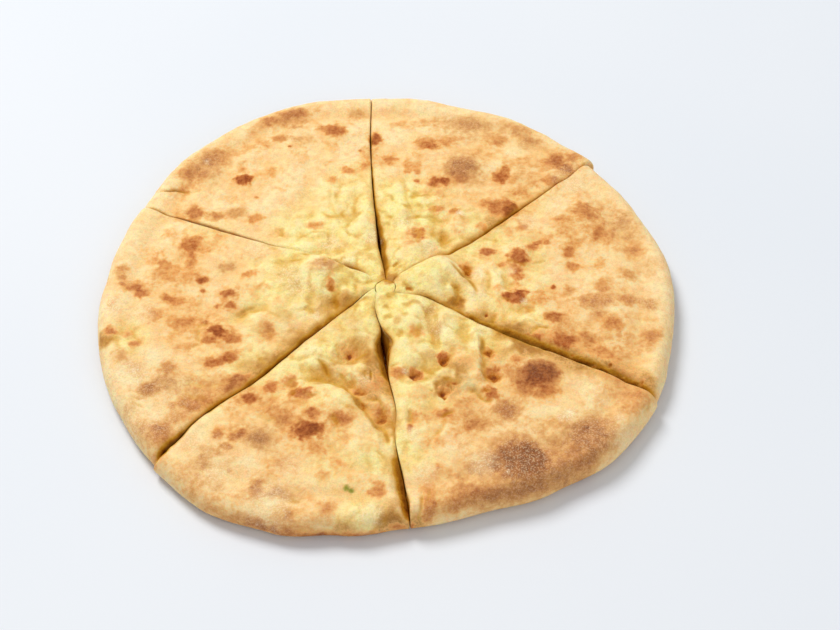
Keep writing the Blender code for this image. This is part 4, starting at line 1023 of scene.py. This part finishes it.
class Sheet:
    """Collects vertices, faces and masks of one mesh."""

    def __init__(self):
        self.places, self.masks, self.faces, self.count = [], [], [], 0

    def add(self, places, masks):
        """Add vertices of any grid shape and return their numbers in that shape."""
        shape = places.shape[:-1]
        size = int(np.prod(shape))
        self.places.append(places.reshape(size, 3))
        self.masks.append({k: np.broadcast_to(v, shape).reshape(size) for k, v in masks.items()})
        numbers = np.arange(self.count, self.count + size).reshape(shape)
        self.count += size
        return numbers

    def place(self, numbers):
        return np.vstack(self.places)[numbers]

    def quads(self, grid, flip=False):
        a, b, c, d = grid[:-1, :-1], grid[:-1, 1:], grid[1:, 1:], grid[1:, :-1]
        corners = (d, c, b, a) if flip else (a, b, c, d)
        self.faces.append(np.stack([k.ravel() for k in corners], 1))

    def fan(self, apex, row, flip=False):
        first, second = (row[1:], row[:-1]) if flip else (row[:-1], row[1:])
        self.faces.append(np.stack([np.full(len(row) - 1, apex), first, second], 1))

    def polygon(self, loop):
        self.faces.append(np.array(loop)[None])

    def mesh(self, name, mask_names):
        """The mesh of the vertices that faces use, smooth but for the flat underside."""
        loops = [face for group in self.faces for face in group]
        mesh = bpy.data.meshes.new(name)
        sizes = np.array([len(face) for face in loops], np.int32)
        used, corners = np.unique(np.concatenate(loops), return_inverse=True)
        places = self.place(used)
        mesh.vertices.add(len(used))
        mesh.vertices.foreach_set("co", places.ravel())
        mesh.loops.add(int(sizes.sum()))
        mesh.loops.foreach_set("vertex_index", corners.astype(np.int32))
        mesh.polygons.add(len(loops))
        mesh.polygons.foreach_set("loop_start", np.concatenate([[0], np.cumsum(sizes)[:-1]]))
        mesh.update(calc_edges=True)
        for mask in mask_names:
            values = np.concatenate([m.get(mask, np.zeros(len(p)))
                                     for m, p in zip(self.masks, self.places)])[used]
            values[places[:, 2] <= 0] = mask == "under"
            layer = mesh.attributes.new(mask, "FLOAT", "POINT")
            layer.data.foreach_set("value", np.clip(values, 0, 1).astype(np.float32))
        mesh.polygons.foreach_set("use_smooth", sizes <= 4)
        return mesh


def edge_profile(cut_name, side, distance):
    """Reach and drop of a cut edge's rounding at distances along the cut."""
    table = np.array(CUTS[cut_name]["edges"][side]) * MM
    ragged = 1 + EDGE_RAGGED * wave(distance / EDGE_WAVE, distance * 0 + side * 3.7, 7)
    reach = np.interp(distance, table[:, 0], table[:, 1]) * ragged
    return reach, np.interp(distance, table[:, 0], table[:, 2]) * ragged


def edge_drop(away, reach, drop):
    """A round edge where the reach is short and the drop deep, a slope elsewhere."""
    outside = fading(away, reach)
    long = np.maximum(ease(0.0022, 0.0045, reach), 1 - ease(0.35, 0.6, drop / reach))
    return drop * ((1 - long) * (1 - np.sqrt(1 - outside ** 2)) + long * outside ** 1.45)


def cut_edges(piece, patch, x, y, shares, along):
    """How much the cut edges and the tip take off the top, how near they are, and their masks."""
    width = patch.width(along)[:, None]
    tip_away = np.linalg.norm(patch.points(np.full((ROWS + 1, 1), 0.5), along)
                              - at_share(patch.tip, np.array([[0.5]])), axis=-1)
    drop = edge_drop(tip_away, *TIP_ROUNDING)
    edge = fading(tip_away, TIP_CALM_REACH) + np.zeros(x.shape)
    slope, lip, seam, painted_shade = (np.zeros(x.shape) for _ in range(4))
    streak = 0.75 + pattern("painted shade streaks", x, y)
    for which, share in ((0, shares), (1, 1 - shares)):
        cut, side = piece["cuts"][which], 1 - 2 * which
        distance = patch.side(which, along)[:, 2]
        reach, fall = edge_profile(cut, side, distance)
        away = share * width
        limit = np.minimum(reach, width[:, 0] * 0.5)[:, None]
        fall = fall[:, None]
        here = edge_drop(away, limit, fall)
        drop = np.maximum(drop, here)
        edge = np.maximum(edge, fading(away, 1.3 * reach[:, None]))
        steep = ease(*STEEP_FALL, fall) * np.minimum(1, STEEP_REACH / reach[:, None])
        # painted shade on the steep slopes into the cut
        slope = np.maximum(slope, steep * ease(0.0, 1.0, here / fall))
        # painted shade beside the cut
        seam = np.maximum(seam, np.exp(-away / SEAM_REACH) * ease(*SEAM_FALL, fall)
                          * ease(*SEAM_START, distance)[:, None])
        # mustard painted shade along the cut
        at, depths, strengths = np.array(CUTS[cut]["painted_shades"][side]).T
        depth = np.interp(distance / MM, at, depths)[:, None] * MM
        strength = np.interp(distance / MM, at, strengths)[:, None]
        painted_shade = np.maximum(painted_shade, strength * np.exp(-(away / (depth * streak)) ** 1.3))
        # painted highlight beside a gentle edge
        lip = np.maximum(lip, (1 - steep) * fading(away, LIP_REACH))
    return drop, edge, {"slope": slope, "lip": lip, "seam": seam, "painted_shade": painted_shade}


def build_rim(top, outline, top_masks):
    """Places and masks of the rolled rim's rows under the top's last row."""
    edge_row = top[-1]
    outward = edge_row[:, :2] / np.linalg.norm(edge_row[:, :2], axis=1)[:, None]
    rows = np.arange(RIM_ROWS + 1)
    angles = np.radians(90 - 180 * rows / RIM_ROWS)[:, None]
    above = angles >= 0
    reach = np.where(above, RIM_REACH * np.cos(angles),
                     RIM_REACH - RIM_TUCK * (1 - np.cos(angles)))
    upper = RIM_WIDEST_HEIGHT + (edge_row[None, :, 2] - RIM_WIDEST_HEIGHT) * np.sin(angles)
    z = np.where(above, upper, RIM_WIDEST_HEIGHT * (1 + np.sin(angles)))
    steps = np.hypot(np.diff(reach, axis=0), np.diff(z, axis=0))
    run = np.concatenate([np.zeros((1, z.shape[1])), np.cumsum(steps, axis=0)])
    skin = edge_row[None, :, :2] + outward[None] * run[..., None]
    relief, masks = surface(skin[..., 0], skin[..., 1], np.broadcast_to(outline[-1], run.shape))
    fade = np.clip(1 - rows / RIM_ROWS, 0, 1)[:, None] ** 0.5
    out = (relief * fade - relief[:1] * np.sin(np.maximum(angles, 0))) * fade
    plan = edge_row[None, :, :2] + outward[None] * reach[..., None]
    places = np.dstack([plan + outward[None] * (out * np.cos(angles))[..., None],
                        z + out * np.maximum(np.sin(angles), 0)])
    # the top's painted shade and highlight fade out down the rim
    for name in ("hollow", "crest", "slope"):
        masks[name] = top_masks[name][-1] * fading(rows, RIM_FADE_ROWS)[:, None]
    masks["under"] = np.clip((UNDERSIDE_HEIGHT - z) / UNDERSIDE_HEIGHT, 0, 1)
    return places, masks


def build_top(piece, patch, columns):
    """Places and masks of the slice's top and rolled rim, as [row, column]."""
    along = (np.arange(ROWS + 1) / ROWS) ** ROW_CROWDING
    even = np.arange(columns + 1) / columns
    crowded = even - EDGE_CROWDING * np.sin(math.tau * even) / math.tau
    shares = np.broadcast_to(crowded, (ROWS + 1, columns + 1))
    plan = patch.points(shares, along)
    x, y = plan[..., 0], plan[..., 1]
    outline = rim_radius(piece, shares.ravel()).reshape(shares.shape)
    height = main_form(piece, x, y, outline)
    drop, edge, cuts = cut_edges(piece, patch, x, y, shares, along)
    relief, masks = surface(x, y, outline)
    relief = relief * (1 - EDGE_CALM * edge)
    top = np.dstack([x, y, height + relief - drop])
    cavity = sum(share * (soften(top[..., 2], cells) - top[..., 2]) / scale
                 for cells, scale, share in CAVITIES)
    cavity *= 1 - edge
    # painted shade in the hollows
    masks["hollow"] = np.clip(cavity, 0, 1) * (0.2 + 0.8 * masks["yellow"])
    # painted shade beside the cuts joins that of the creases
    masks["crease"] = np.maximum(masks["crease"], cuts["seam"] * (0.25 + 0.45 * masks["yellow"]))
    # painted highlight on the crests and beside gentle cut edges
    masks["crest"] = np.maximum(np.clip(-cavity, 0, 1), 0.6 * cuts["lip"])
    # painted shade on the slopes into the cuts
    masks["slope"] = cuts["slope"]
    # mustard painted shade, in patches and along the cuts
    masks["painted_shade"] = 1 - (1 - masks["painted_shade"]) * (1 - cuts["painted_shade"])
    masks["under"] = np.zeros(x.shape)
    rim, rim_masks = build_rim(top, outline, masks)
    joined = {k: np.concatenate([masks[k], rim_masks[k][1:]]) for k in masks}
    return np.concatenate([top, rim[1:]]), joined, along


def wall_heights(top_z, ceiling):
    """Heights of a cut side's rows under each place of its top edge, [place, row]."""
    opening_top = np.maximum(np.minimum(ceiling, top_z - THINNEST_EDGE),
                             FLOOR_THICKNESS + THINNEST_FILLING)
    stations = np.array((0, OPENING_TOP_ROW, OPENING_BOTTOM_ROW, WALL_ROWS))
    floor = np.full(top_z.shape, FLOOR_THICKNESS - LAYER_GAP)
    values = np.stack([top_z, opening_top + LAYER_GAP / 2, floor, np.zeros(top_z.shape)], 1)
    return np.stack([np.interp(np.arange(WALL_ROWS + 1), stations, row) for row in values])


def inward_normals(edge_xy, middle_xy):
    run = np.gradient(edge_xy, axis=0)
    run /= np.linalg.norm(run, axis=1)[:, None] + 1e-12
    normal = np.stack([-run[:, 1], run[:, 0]], 1)
    flip = np.sign(np.sum(normal * (middle_xy - edge_xy), axis=1))
    return normal * np.where(flip == 0, 1, flip)[:, None]


def wall_relief(distance, z, seed):
    """How far a cut side's crumb lies behind the plan edge."""
    layers = 0.5 + 0.5 * wave(distance / LAYER_LENGTH, z / LAYER_HEIGHT, seed)
    crumb = 0.5 + 0.5 * cloud(distance, z, CRUMB_LENGTH, 3, seed + 3)
    return STAY_CLEAR + CRUMB_DEPTH * crumb + LAYER_DEPTH * layers


def build_wall(piece, patch, which, places, masks, along, columns):
    """Places and masks of one cut side under its top edge, [place, row]."""
    column, inner = (0, columns // 8) if which == 0 else (columns, columns - columns // 8)
    edge = places[:ROWS + 1, column]
    middle = places[:ROWS + 1, columns // 2]
    crust = np.minimum(places[:ROWS + 1, inner, 2], middle[:, 2])
    heights = wall_heights(edge[:, 2], crust - CRUST_THICKNESS - OPENING_CLEARANCE)
    normal = inward_normals(edge[:, :2], middle[:, :2])
    run = run_along(edge[:, :2])
    distance = np.broadcast_to(run[:, None], heights.shape)
    away = wall_relief(distance, heights, 200 + 10 * which + ord(piece["name"][-1]))
    fade = np.minimum(np.arange(WALL_ROWS + 1) / WALL_FADE_ROWS, 1)
    fade = fade * np.clip(run / WALL_FADE_RUN, 0, 1)[:, None]
    depth = edge[:, None, 2] - heights
    half_gap = patch.side(which, along)[:, 3, None]
    closing = ease(CLOSING_START, CUTS[piece["cuts"][which]]["closes"] * MM, depth)
    shift = away * fade * (1 - 0.95 * closing) - (half_gap - SEAM_GAP / 2) * closing
    xy = edge[:, None, :2] + normal[:, None] * shift[..., None]
    wall_masks = {name: masks[name][:ROWS + 1, column, None] * np.exp(-depth[:, 1:] / SKIN_DEPTH)
                  for name in ("brown", "yellow", "grey", "crease", "slope")}
    wall_masks["cut"] = ease(0, CRUMB_FULL, depth[:, 1:])
    # painted shade deeper in the gap
    wall_masks["deep"] = ease(*DEEP, depth[:, 1:])
    return np.dstack([xy, heights])[:, 1:], wall_masks


def build_slice(piece):
    """The crust of a slice, and the hollow for its filling."""
    has_disc = piece["name"] == DISC_SLICE
    patch = Patch(piece, has_disc)
    arc = patch.turn * rim_radius(piece, np.array([0.5]))[0]
    columns = int(round(arc / COLUMN_SPACING / 2)) * 2
    places, masks, along = build_top(piece, patch, columns)
    sheet = Sheet()
    top = sheet.add(places, masks)
    sheet.quads(top, flip=True)

    first_row = int(np.searchsorted(along, CHEESE_TIP_SHARE + (KNEE if has_disc else 0)))
    last_along = 1 - (CHEESE_RIM_INSET - RIM_REACH) / np.linalg.norm(places[ROWS, 0, :2])
    last_row = int(np.searchsorted(along, last_along))
    walls, caps = [], []
    for which, column in ((0, 0), (1, columns)):
        numbers = sheet.add(*build_wall(piece, patch, which, places, masks, along, columns))
        wall = np.concatenate([top[:ROWS + 1, column, None], numbers], 1)
        walls.append(wall)
        for part in (wall[:first_row + 1], wall[last_row:],
                     wall[first_row:last_row + 1, :OPENING_TOP_ROW + 1],
                     wall[first_row:last_row + 1, OPENING_BOTTOM_ROW:]):
            sheet.quads(part, which == 1)
    tip_bottom = add_tip(sheet, top, walls, places, columns)
    for which, column in ((0, 0), (1, columns)):
        caps.append(add_cap(sheet, top, walls[which], places, column, which == 1)[-1][1:-1])
    tunnel = add_tunnel(sheet, walls, places, first_row, last_row, columns)
    sheet.polygon(np.concatenate([walls[0][:, -1], caps[0], top[-1], caps[1][::-1],
                                  walls[1][::-1, -1], tip_bottom[1:-1][::-1]])[::-1])
    return sheet, tunnel


def add_tip(sheet, top, walls, places, columns):
    """The tip's wall, from its top row down to the underside, whose numbers are returned."""
    z = places[0, :, 2]
    ends = [sheet.place(wall[0])[:, 2, None] for wall in walls]
    heights = between(*ends, np.arange(columns + 1) / columns)
    heights = heights + (z - heights[0]) * (1 - np.arange(WALL_ROWS + 1) / WALL_ROWS)[:, None]
    inner = np.dstack([np.broadcast_to(places[0, :, 0], heights.shape),
                       np.broadcast_to(places[0, :, 1], heights.shape), heights])
    cut = ease(0, CRUMB_FULL, z[1:-1] - heights[1:, 1:-1])
    numbers = sheet.add(inner[1:, 1:-1], {"cut": cut, "yellow": 0.7})
    body = np.concatenate([walls[0][0, 1:, None], numbers, walls[1][0, 1:, None]], 1)
    sheet.quads(np.concatenate([top[0][None], body]))
    return body[-1]


def add_cap(sheet, top, wall, places, column, flip):
    """The rolled rim's end at a cut side, between the side's last line and the rim's arc."""
    line = sheet.place(wall[ROWS])
    arc = places[ROWS:, column]
    shares = (np.arange(1, CAP_COLUMNS) / CAP_COLUMNS)[None, :, None]
    inner = between(line[1:, None], arc[1:, None], shares)
    depth = arc[0, 2] - inner[..., 2]
    shares = shares[..., 0]
    numbers = sheet.add(inner, {"cut": ease(0, CAP_CRUMB_FULL, depth) * (1 - shares) ** 0.5,
                                "brown": CAP_BROWN * shares * np.ones(depth.shape)})
    grid = np.concatenate([wall[ROWS, 1:, None], numbers, top[ROWS + 1:, column, None]], 1)
    sheet.fan(wall[ROWS, 0], grid[0], flip)
    sheet.quads(grid, not flip)
    return grid


def lowest_near(grid, reach):
    """The lowest of the rows up to reach away, and of the next columns."""
    lowest = grid.copy()
    for shift in range(1, reach + 1):
        lowest[shift:] = np.minimum(lowest[shift:], grid[:-shift])
        lowest[:-shift] = np.minimum(lowest[:-shift], grid[shift:])
    sideways = lowest.copy()
    sideways[:, 1:] = np.minimum(sideways[:, 1:], lowest[:, :-1])
    sideways[:, :-1] = np.minimum(sideways[:, :-1], lowest[:, 1:])
    return sideways


def add_tunnel(sheet, walls, places, first_row, last_row, columns):
    """The hollow that the cheese fills, open at both cut sides: its ceiling and floor."""
    rows = slice(first_row, last_row + 1)
    picks = np.round(np.linspace(0, columns, TUNNEL_COLUMNS + 1)).astype(int)
    shares = np.arange(TUNNEL_COLUMNS + 1) / TUNNEL_COLUMNS
    a, b = OPENING_TOP_ROW, OPENING_BOTTOM_ROW
    lines = [sheet.place(wall[rows]) for wall in walls]
    high, low = (between(lines[0][:, row, None], lines[1][:, row, None], shares[None, :, None])
                 for row in (a, b))
    target = np.maximum(lowest_near(places[rows][:, picks, 2], CEILING_ROWS) - CRUST_THICKNESS
                        - CEILING_CLEARANCE, FLOOR_THICKNESS + MIDDLE_FILLING)
    high[..., 2] = between(high[..., 2], target, np.sin(math.pi * shares) ** 0.5)
    masks = {"cut": 1.0, "yellow": 1.0}
    ceiling, floor = (
        np.concatenate([walls[0][rows, row, None], sheet.add(grid[:, 1:-1], masks),
                        walls[1][rows, row, None]], 1) for row, grid in ((a, high), (b, low)))
    sheet.quads(ceiling)
    sheet.quads(floor, flip=True)
    drop = (np.arange(1, b - a) / (b - a))[:, None, None]
    for row, at, flip in ((0, first_row, True), (-1, last_row, False)):
        numbers = sheet.add(between(high[row, 1:-1], low[row, 1:-1], drop), masks)
        middle = np.concatenate([walls[0][at, a + 1:b, None], numbers,
                                 walls[1][at, a + 1:b, None]], 1)
        sheet.quads(np.concatenate([ceiling[row][None], middle, floor[row][None]]), flip)
    return high, low


def build_cheese(tunnel, seed):
    """The cheese in the hollow, as a loop of faces round its section, and two ends."""
    high, low = tunnel
    width = np.linalg.norm(high[:, 0, :2] - high[:, -1, :2], axis=1)
    across = (high[:, -1, :2] - high[:, 0, :2]) / width[:, None]
    side_count = 2 * (OPENING_BOTTOM_ROW - OPENING_TOP_ROW) + 1
    drops = np.arange(side_count) / (side_count - 1)
    faces = []
    for which, sign, next_column in ((0, 1, 1), (-1, -1, -2)):
        upper, lower = high[:, which].copy(), low[:, which].copy()
        beside = high[:, next_column] - upper
        fall = np.minimum(beside[:, 2] / np.linalg.norm(beside[:, :2], axis=1), 0)
        upper[:, 2] += fall * np.minimum(FILLING_INSET, width * NARROW_SHARE) - FILLING_GAP
        lower[:, 2] += FILLING_GAP
        line = between(upper[:, None], lower[:, None], drops[None, :, None])
        run = np.broadcast_to(run_along(upper[:, :2])[:, None], line.shape[:2])
        lumps = cloud(run, line[..., 2], LUMP_LENGTH, 3, seed + 5 * which)
        depth = np.minimum(FILLING_DEPTH + FILLING_LUMPS * lumps,
                           width[:, None] * NARROW_SHARE)
        line[..., :2] += across[:, None] * (sign * depth)[..., None]
        faces.append(line)
    ceiling, floor = high[:, 1:-1].copy(), low[:, 1:-1].copy()
    ceiling[..., 2] -= FILLING_GAP * 2
    floor[..., 2] += FILLING_GAP
    loop = np.concatenate([faces[0][:, ::-1], ceiling, faces[1], floor[:, ::-1]], 1)[1:-1]
    sheet = Sheet()
    numbers = sheet.add(loop, {"cut": 1.0})
    sheet.quads(np.concatenate([numbers, numbers[:, :1]], 1), flip=True)
    ends = np.cumsum((side_count, TUNNEL_COLUMNS - 1, side_count))
    for row, flip in ((0, False), (-1, True)):
        up, over, down, under = np.split(numbers[row], ends)
        _, top_line, _, low_line = np.split(loop[row], ends)
        inner = sheet.add(between(top_line[None], low_line[::-1][None],
                                  drops[1:-1][:, None, None]), {"cut": 1.0})
        body = np.concatenate([over[None], inner, under[::-1][None]])
        sheet.quads(np.concatenate([up[::-1][:, None], body, down[:, None]], 1), flip)
    return sheet


# --- materials -------------------------------------------------------------------------------

def srgb(red, green, blue):
    """A colour given as the 0..255 values of a screen."""
    values = [c / 255 for c in (red, green, blue)]
    return (*[c / 12.92 if c <= 0.04045 else ((c + 0.055) / 1.055) ** 2.4 for c in values], 1.0)


class Nodes:
    """Short calls for the nodes of one material."""

    def __init__(self, name):
        self.material = bpy.data.materials.new(name)
        self.material.use_nodes = True
        self.tree = self.material.node_tree
        self.shader = self.tree.nodes["Principled BSDF"]
        self.place = self.tree.nodes.new("ShaderNodeTexCoord").outputs["Object"]

    def set(self, socket, value):
        if isinstance(value, bpy.types.NodeSocket):
            self.tree.links.new(value, socket)
        else:
            socket.default_value = value

    def shade(self, **values):
        """Set the shader's sockets, with _ for a space in their names."""
        for name, value in values.items():
            self.set(self.shader.inputs[name.replace("_", " ")], value)

    def mask(self, name):
        node = self.tree.nodes.new("ShaderNodeAttribute")
        node.attribute_name = name
        return node.outputs["Fac"]

    def noise(self, size, detail=3.0, roughness=0.55, distortion=0.0):
        node = self.tree.nodes.new("ShaderNodeTexNoise")
        for name, value in (("Vector", self.place), ("Scale", 1 / size), ("Detail", detail),
                            ("Roughness", roughness), ("Distortion", distortion)):
            self.set(node.inputs[name], value)
        return node.outputs["Fac"]

    def math(self, operation, a, b=0.0, c=0.0, clamp=False):
        node = self.tree.nodes.new("ShaderNodeMath")
        node.operation = operation
        node.use_clamp = clamp
        for socket, value in zip(node.inputs, (a, b, c)):
            self.set(socket, value)
        return node.outputs[0]

    def range(self, value, low, high, to_low=0.0, to_high=1.0):
        node = self.tree.nodes.new("ShaderNodeMapRange")
        node.interpolation_type = "SMOOTHSTEP"
        for name, v in (("Value", value), ("From Min", low), ("From Max", high),
                        ("To Min", to_low), ("To Max", to_high)):
            self.set(node.inputs[name], v)
        return node.outputs[0]

    def mix(self, factor, a, b, blend="MIX"):
        node = self.tree.nodes.new("ShaderNodeMix")
        node.data_type = "RGBA"
        node.blend_type = blend
        self.set(node.inputs["Factor"], factor)
        self.set(node.inputs[6], a)
        self.set(node.inputs[7], b)
        return node.outputs[2]

    def over(self, colour, *layers):
        """Lay colours over one: driver, its low and high, the most that it covers, colour."""
        for driver, low, high, most, cover in layers:
            colour = self.mix(self.range(driver, low, high, 0.0, most), colour, srgb(*cover))
        return colour

    def ramp(self, value, name):
        node = self.tree.nodes.new("ShaderNodeValToRGB")
        elements = node.color_ramp.elements
        while len(elements) < len(RAMPS[name]):
            elements.new(0.5)
        for element, (position, colour) in zip(elements, RAMPS[name]):
            element.position = position
            element.color = srgb(*colour)
        self.set(node.inputs[0], value)
        return node.outputs["Color"]

    def signed(self, size, detail=3.0, roughness=0.55):
        """Noise stretched to about -1..1."""
        return self.range(self.noise(size, detail, roughness), 0.3, 0.7, -1.0, 1.0)

    def add(self, value, *terms):
        """The value and the shares of further ones: value, share, and so on."""
        for term, share in zip(terms[::2], terms[1::2]):
            value = self.math("MULTIPLY_ADD", term, share, value)
        return value

    def bump(self, height, depth, strength=1.0, normal=None):
        node = self.tree.nodes.new("ShaderNodeBump")
        for name, value in (("Strength", strength), ("Distance", depth), ("Height", height)):
            self.set(node.inputs[name], value)
        if normal is not None:
            self.set(node.inputs["Normal"], normal)
        return node.outputs["Normal"]


def skin_colour(n, m, broad, patchy, freckle, fine):
    """The unbrowned crust: pale skin, buttery middle, painted shade in the hollows, painted
    highlight on the crests, and mustard painted shade.
    """
    skin = n.over(
        srgb(255, 228, 174), (broad, -0.6, 0.7, 1.0, (255, 216, 154)),
        (patchy, -0.2, 1.0, 0.50, (250, 194, 134)), (freckle, 0.0, 1.0, 0.35, (250, 190, 136)),
        (freckle, -0.1, -1.0, 0.35, (255, 230, 168)))
    butter = n.over(
        srgb(255, 243, 164), (patchy, -0.6, 0.7, 1.0, (255, 232, 142)),
        (freckle, 0.2, 1.0, 0.35, (240, 204, 112)), (fine, 0.2, 1.0, 0.12, (232, 196, 106)),
        (n.signed(0.0040, 3), 0.3, 0.9, 0.32, (222, 198, 92)))
    hue = n.signed(0.0075, 4, 0.6)
    base = n.over(n.mix(m["yellow"], skin, butter), (hue, 0.1, 0.9, 0.40, (250, 194, 120)))
    pale = n.math("MULTIPLY", n.range(hue, -0.1, -0.9, 0.0, 0.50), n.add(0.4, m["yellow"], 0.6))
    base = n.mix(pale, base, srgb(255, 237, 166))
    # painted highlight on the crests
    base = n.mix(n.math("MULTIPLY", m["crest"], 0.45), base, srgb(255, 243, 190))
    # painted shade in the hollows
    base = n.mix(n.math("MULTIPLY", m["hollow"], 0.75), base, srgb(222, 170, 66))
    # mustard painted shade
    painted_shade_colour = n.ramp(n.add(m["painted_shade"], patchy, 0.12, freckle, 0.08), "painted_shade_colour")
    return n.mix(n.range(m["painted_shade"], 0.0, 0.8, 0.0, 0.92), base, painted_shade_colour)


def dough_material():
    n = Nodes("baked_dough")
    m = {name: n.mask(name) for name in MASKS}
    broad, patchy = n.signed(0.019, 3), n.signed(0.0056, 4)
    freckle, fine, dust = n.signed(0.0028, 3), n.signed(0.0014, 3, 0.6), n.signed(0.0008, 2, 0.7)
    speck = n.range(dust, 0.0, 0.7)

    def part(name, share):
        return n.math("MULTIPLY", m[name], share)

    base = skin_colour(n, m, broad, patchy, freckle, fine)
    # browning, its edges broken up by the finer noises
    broken = n.add(m["brown"], patchy, 0.06, freckle, 0.05, fine, 0.055, dust, 0.035)
    broken = n.math("MULTIPLY", broken, n.range(m["brown"], 0.0, 0.22))
    toast = n.mix(n.math("MULTIPLY", m["grey"], 1.3, clamp=True), n.ramp(broken, "warm"),
                  n.ramp(broken, "dusty"))
    colour = n.mix(n.range(broken, 0.0, 0.5), base, toast)
    # flour, and the painted light at the rim, lies in the finest grain
    veil = n.math("MULTIPLY", m["flour"], n.add(0.08, speck, 0.42))
    colour = n.mix(veil, colour, srgb(250, 222, 178))
    # painted shade: slopes at the cuts, creases and pits go mustard to orange-brown,
    # the pits over their brown crust
    mustard = n.ramp(n.add(m["slope"], patchy, 0.10, fine, 0.06), "mustard")
    colour = n.mix(n.range(m["slope"], 0.0, 0.30), colour, mustard)
    # painted shade in creases, grooves and beside the cuts
    groove = n.ramp(n.add(m["crease"], patchy, 0.15), "groove")
    colour = n.mix(n.range(m["crease"], 0.0, 0.75, 0.0, 0.78), colour, groove)
    # brown crust in the pits, with painted shade at their bottom
    pit_brown_and_shade = n.ramp(n.add(m["pit"], freckle, 0.12, fine, 0.08), "pit_brown_and_shade")
    colour = n.mix(n.range(m["pit"], 0.05, 0.75), colour, pit_brown_and_shade)
    # the cut sides' crumb, coloured darker with painted shade
    crumb = n.mix(n.range(fine, -0.5, 0.5), srgb(204, 138, 26), srgb(160, 94, 8))
    colour = n.mix(m["cut"], colour, crumb)
    # painted shade deep in the gaps
    colour = n.mix(part("deep", 0.95), colour, srgb(158, 78, 4))
    # pale torn and floury places, and painted highlights
    white = n.math("MULTIPLY", m["white"], n.add(0.35, speck, 0.55))
    colour = n.mix(white, colour, srgb(255, 242, 204))
    colour = n.mix(part("herb", 0.9), colour, srgb(140, 148, 44))
    baked = n.mix(n.range(n.noise(0.011, 4), 0.4, 0.65), srgb(214, 164, 98), srgb(172, 112, 58))
    colour = n.mix(m["under"], colour, baked)
    grain = n.add(0.95, fine, 0.06, dust, 0.06)
    grain = n.mix(grain, (0, 0, 0, 1), (1, 1, 1, 1))
    rough = n.range(m["yellow"], 0.0, 1.0, 0.72, 0.50)
    steep = n.math("MAXIMUM", m["slope"], n.math("MAXIMUM", m["cut"], m["crease"]))
    bumps = n.bump(fine, 0.00010, 0.6, n.bump(patchy, 0.0002, 0.4))
    n.shade(Base_Color=n.mix(1.0, colour, grain, "MULTIPLY"),
            Roughness=n.math("ADD", rough, part("flour", 0.2), clamp=True),
            Subsurface_Weight=0.4, Subsurface_Radius=(1.0, 0.55, 0.22), Subsurface_Scale=0.0022,
            Specular_IOR_Level=n.range(steep, 0.0, 0.5, 0.16, 0.0),
            Normal=n.bump(dust, 0.00004, 0.5, bumps))
    return n.material


def cheese_material():
    n = Nodes("melted_cheese")
    patchy, fine = n.noise(0.004, 4, 0.6, 0.4), n.noise(0.0011, 3, 0.6)
    # the cheese's yellow, darkened with painted shade
    n.shade(Base_Color=n.over(n.ramp(patchy, "filling"), (fine, 0.45, 0.75, 0.3, (236, 194, 100))),
            Roughness=n.range(fine, 0.3, 0.7, 0.48, 0.62), Specular_IOR_Level=0.15,
            Normal=n.bump(fine, 0.0002, 0.6, n.bump(patchy, 0.0005, 0.5)))
    return n.material


def floor_material():
    n = Nodes("studio_floor")
    n.shade(Base_Color=n.over(srgb(226, 232, 241),
                              (n.noise(0.4, 2), 0.3, 0.7, 1.0, (230, 235, 243))),
            Roughness=0.6, Specular_IOR_Level=0.2)
    return n.material


# --- the scene -------------------------------------------------------------------------------

def add_object(name, data):
    made = bpy.data.objects.new(name, data)
    bpy.context.scene.collection.objects.link(made)
    return made


def add_piece(mesh, material, node):
    mesh.materials.append(material)
    piece = add_object(mesh.name, mesh)
    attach(piece, "root")
    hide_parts(node)


def build_bread():
    dough, cheese = dough_material(), cheese_material()
    for number, piece in enumerate(SLICES):
        name = piece["name"]
        crust, tunnel = build_slice(piece)
        add_piece(crust.mesh(name + "_crust", MASKS), dough, name + "_dough")
        filling = build_cheese(tunnel, 300 + 10 * number)
        add_piece(filling.mesh(name + "_filling", ("cut",)), cheese, name + "_cheese")


def build_stage():
    mesh = bpy.data.meshes.new("studio_floor")
    signs = ((-1, -1), (1, -1), (1, 1), (-1, 1))
    mesh.from_pydata([(x * FLOOR_HALF, y * FLOOR_HALF, 0) for x, y in signs], [], [(0, 1, 2, 3)])
    mesh.materials.append(floor_material())
    floor = add_object("studio_floor", mesh)


def add_area_light(name, place, size, power, colour):
    data = bpy.data.lights.new(name, "AREA")
    data.shape = "DISK"
    data.size = size
    data.energy = power
    data.color = colour
    light = add_object(name, data)
    light.location = place
    light.rotation_euler = (-Vector(place)).to_track_quat("-Z", "Y").to_euler()


def build_lights():
    for light in AREA_LIGHTS:
        add_area_light(*light)
    world = bpy.data.worlds.new("studio")
    world.use_nodes = True
    background = world.node_tree.nodes["Background"]
    background.inputs["Color"].default_value = WORLD_COLOUR
    background.inputs["Strength"].default_value = WORLD_STRENGTH
    bpy.context.scene.world = world
    bpy.context.scene.view_settings.view_transform = "Standard"


def build_camera():
    data = bpy.data.cameras.new("camera")
    data.sensor_width = CAMERA_SENSOR
    data.lens = CAMERA_LENS
    camera = add_object("camera", data)
    camera.location = CAMERA_PLACE
    camera.rotation_euler = (math.radians(CAMERA_TILT), 0.0, 0.0)
    bpy.context.scene.camera = camera


build_camera()
build_bread()
build_stage()
build_lights()
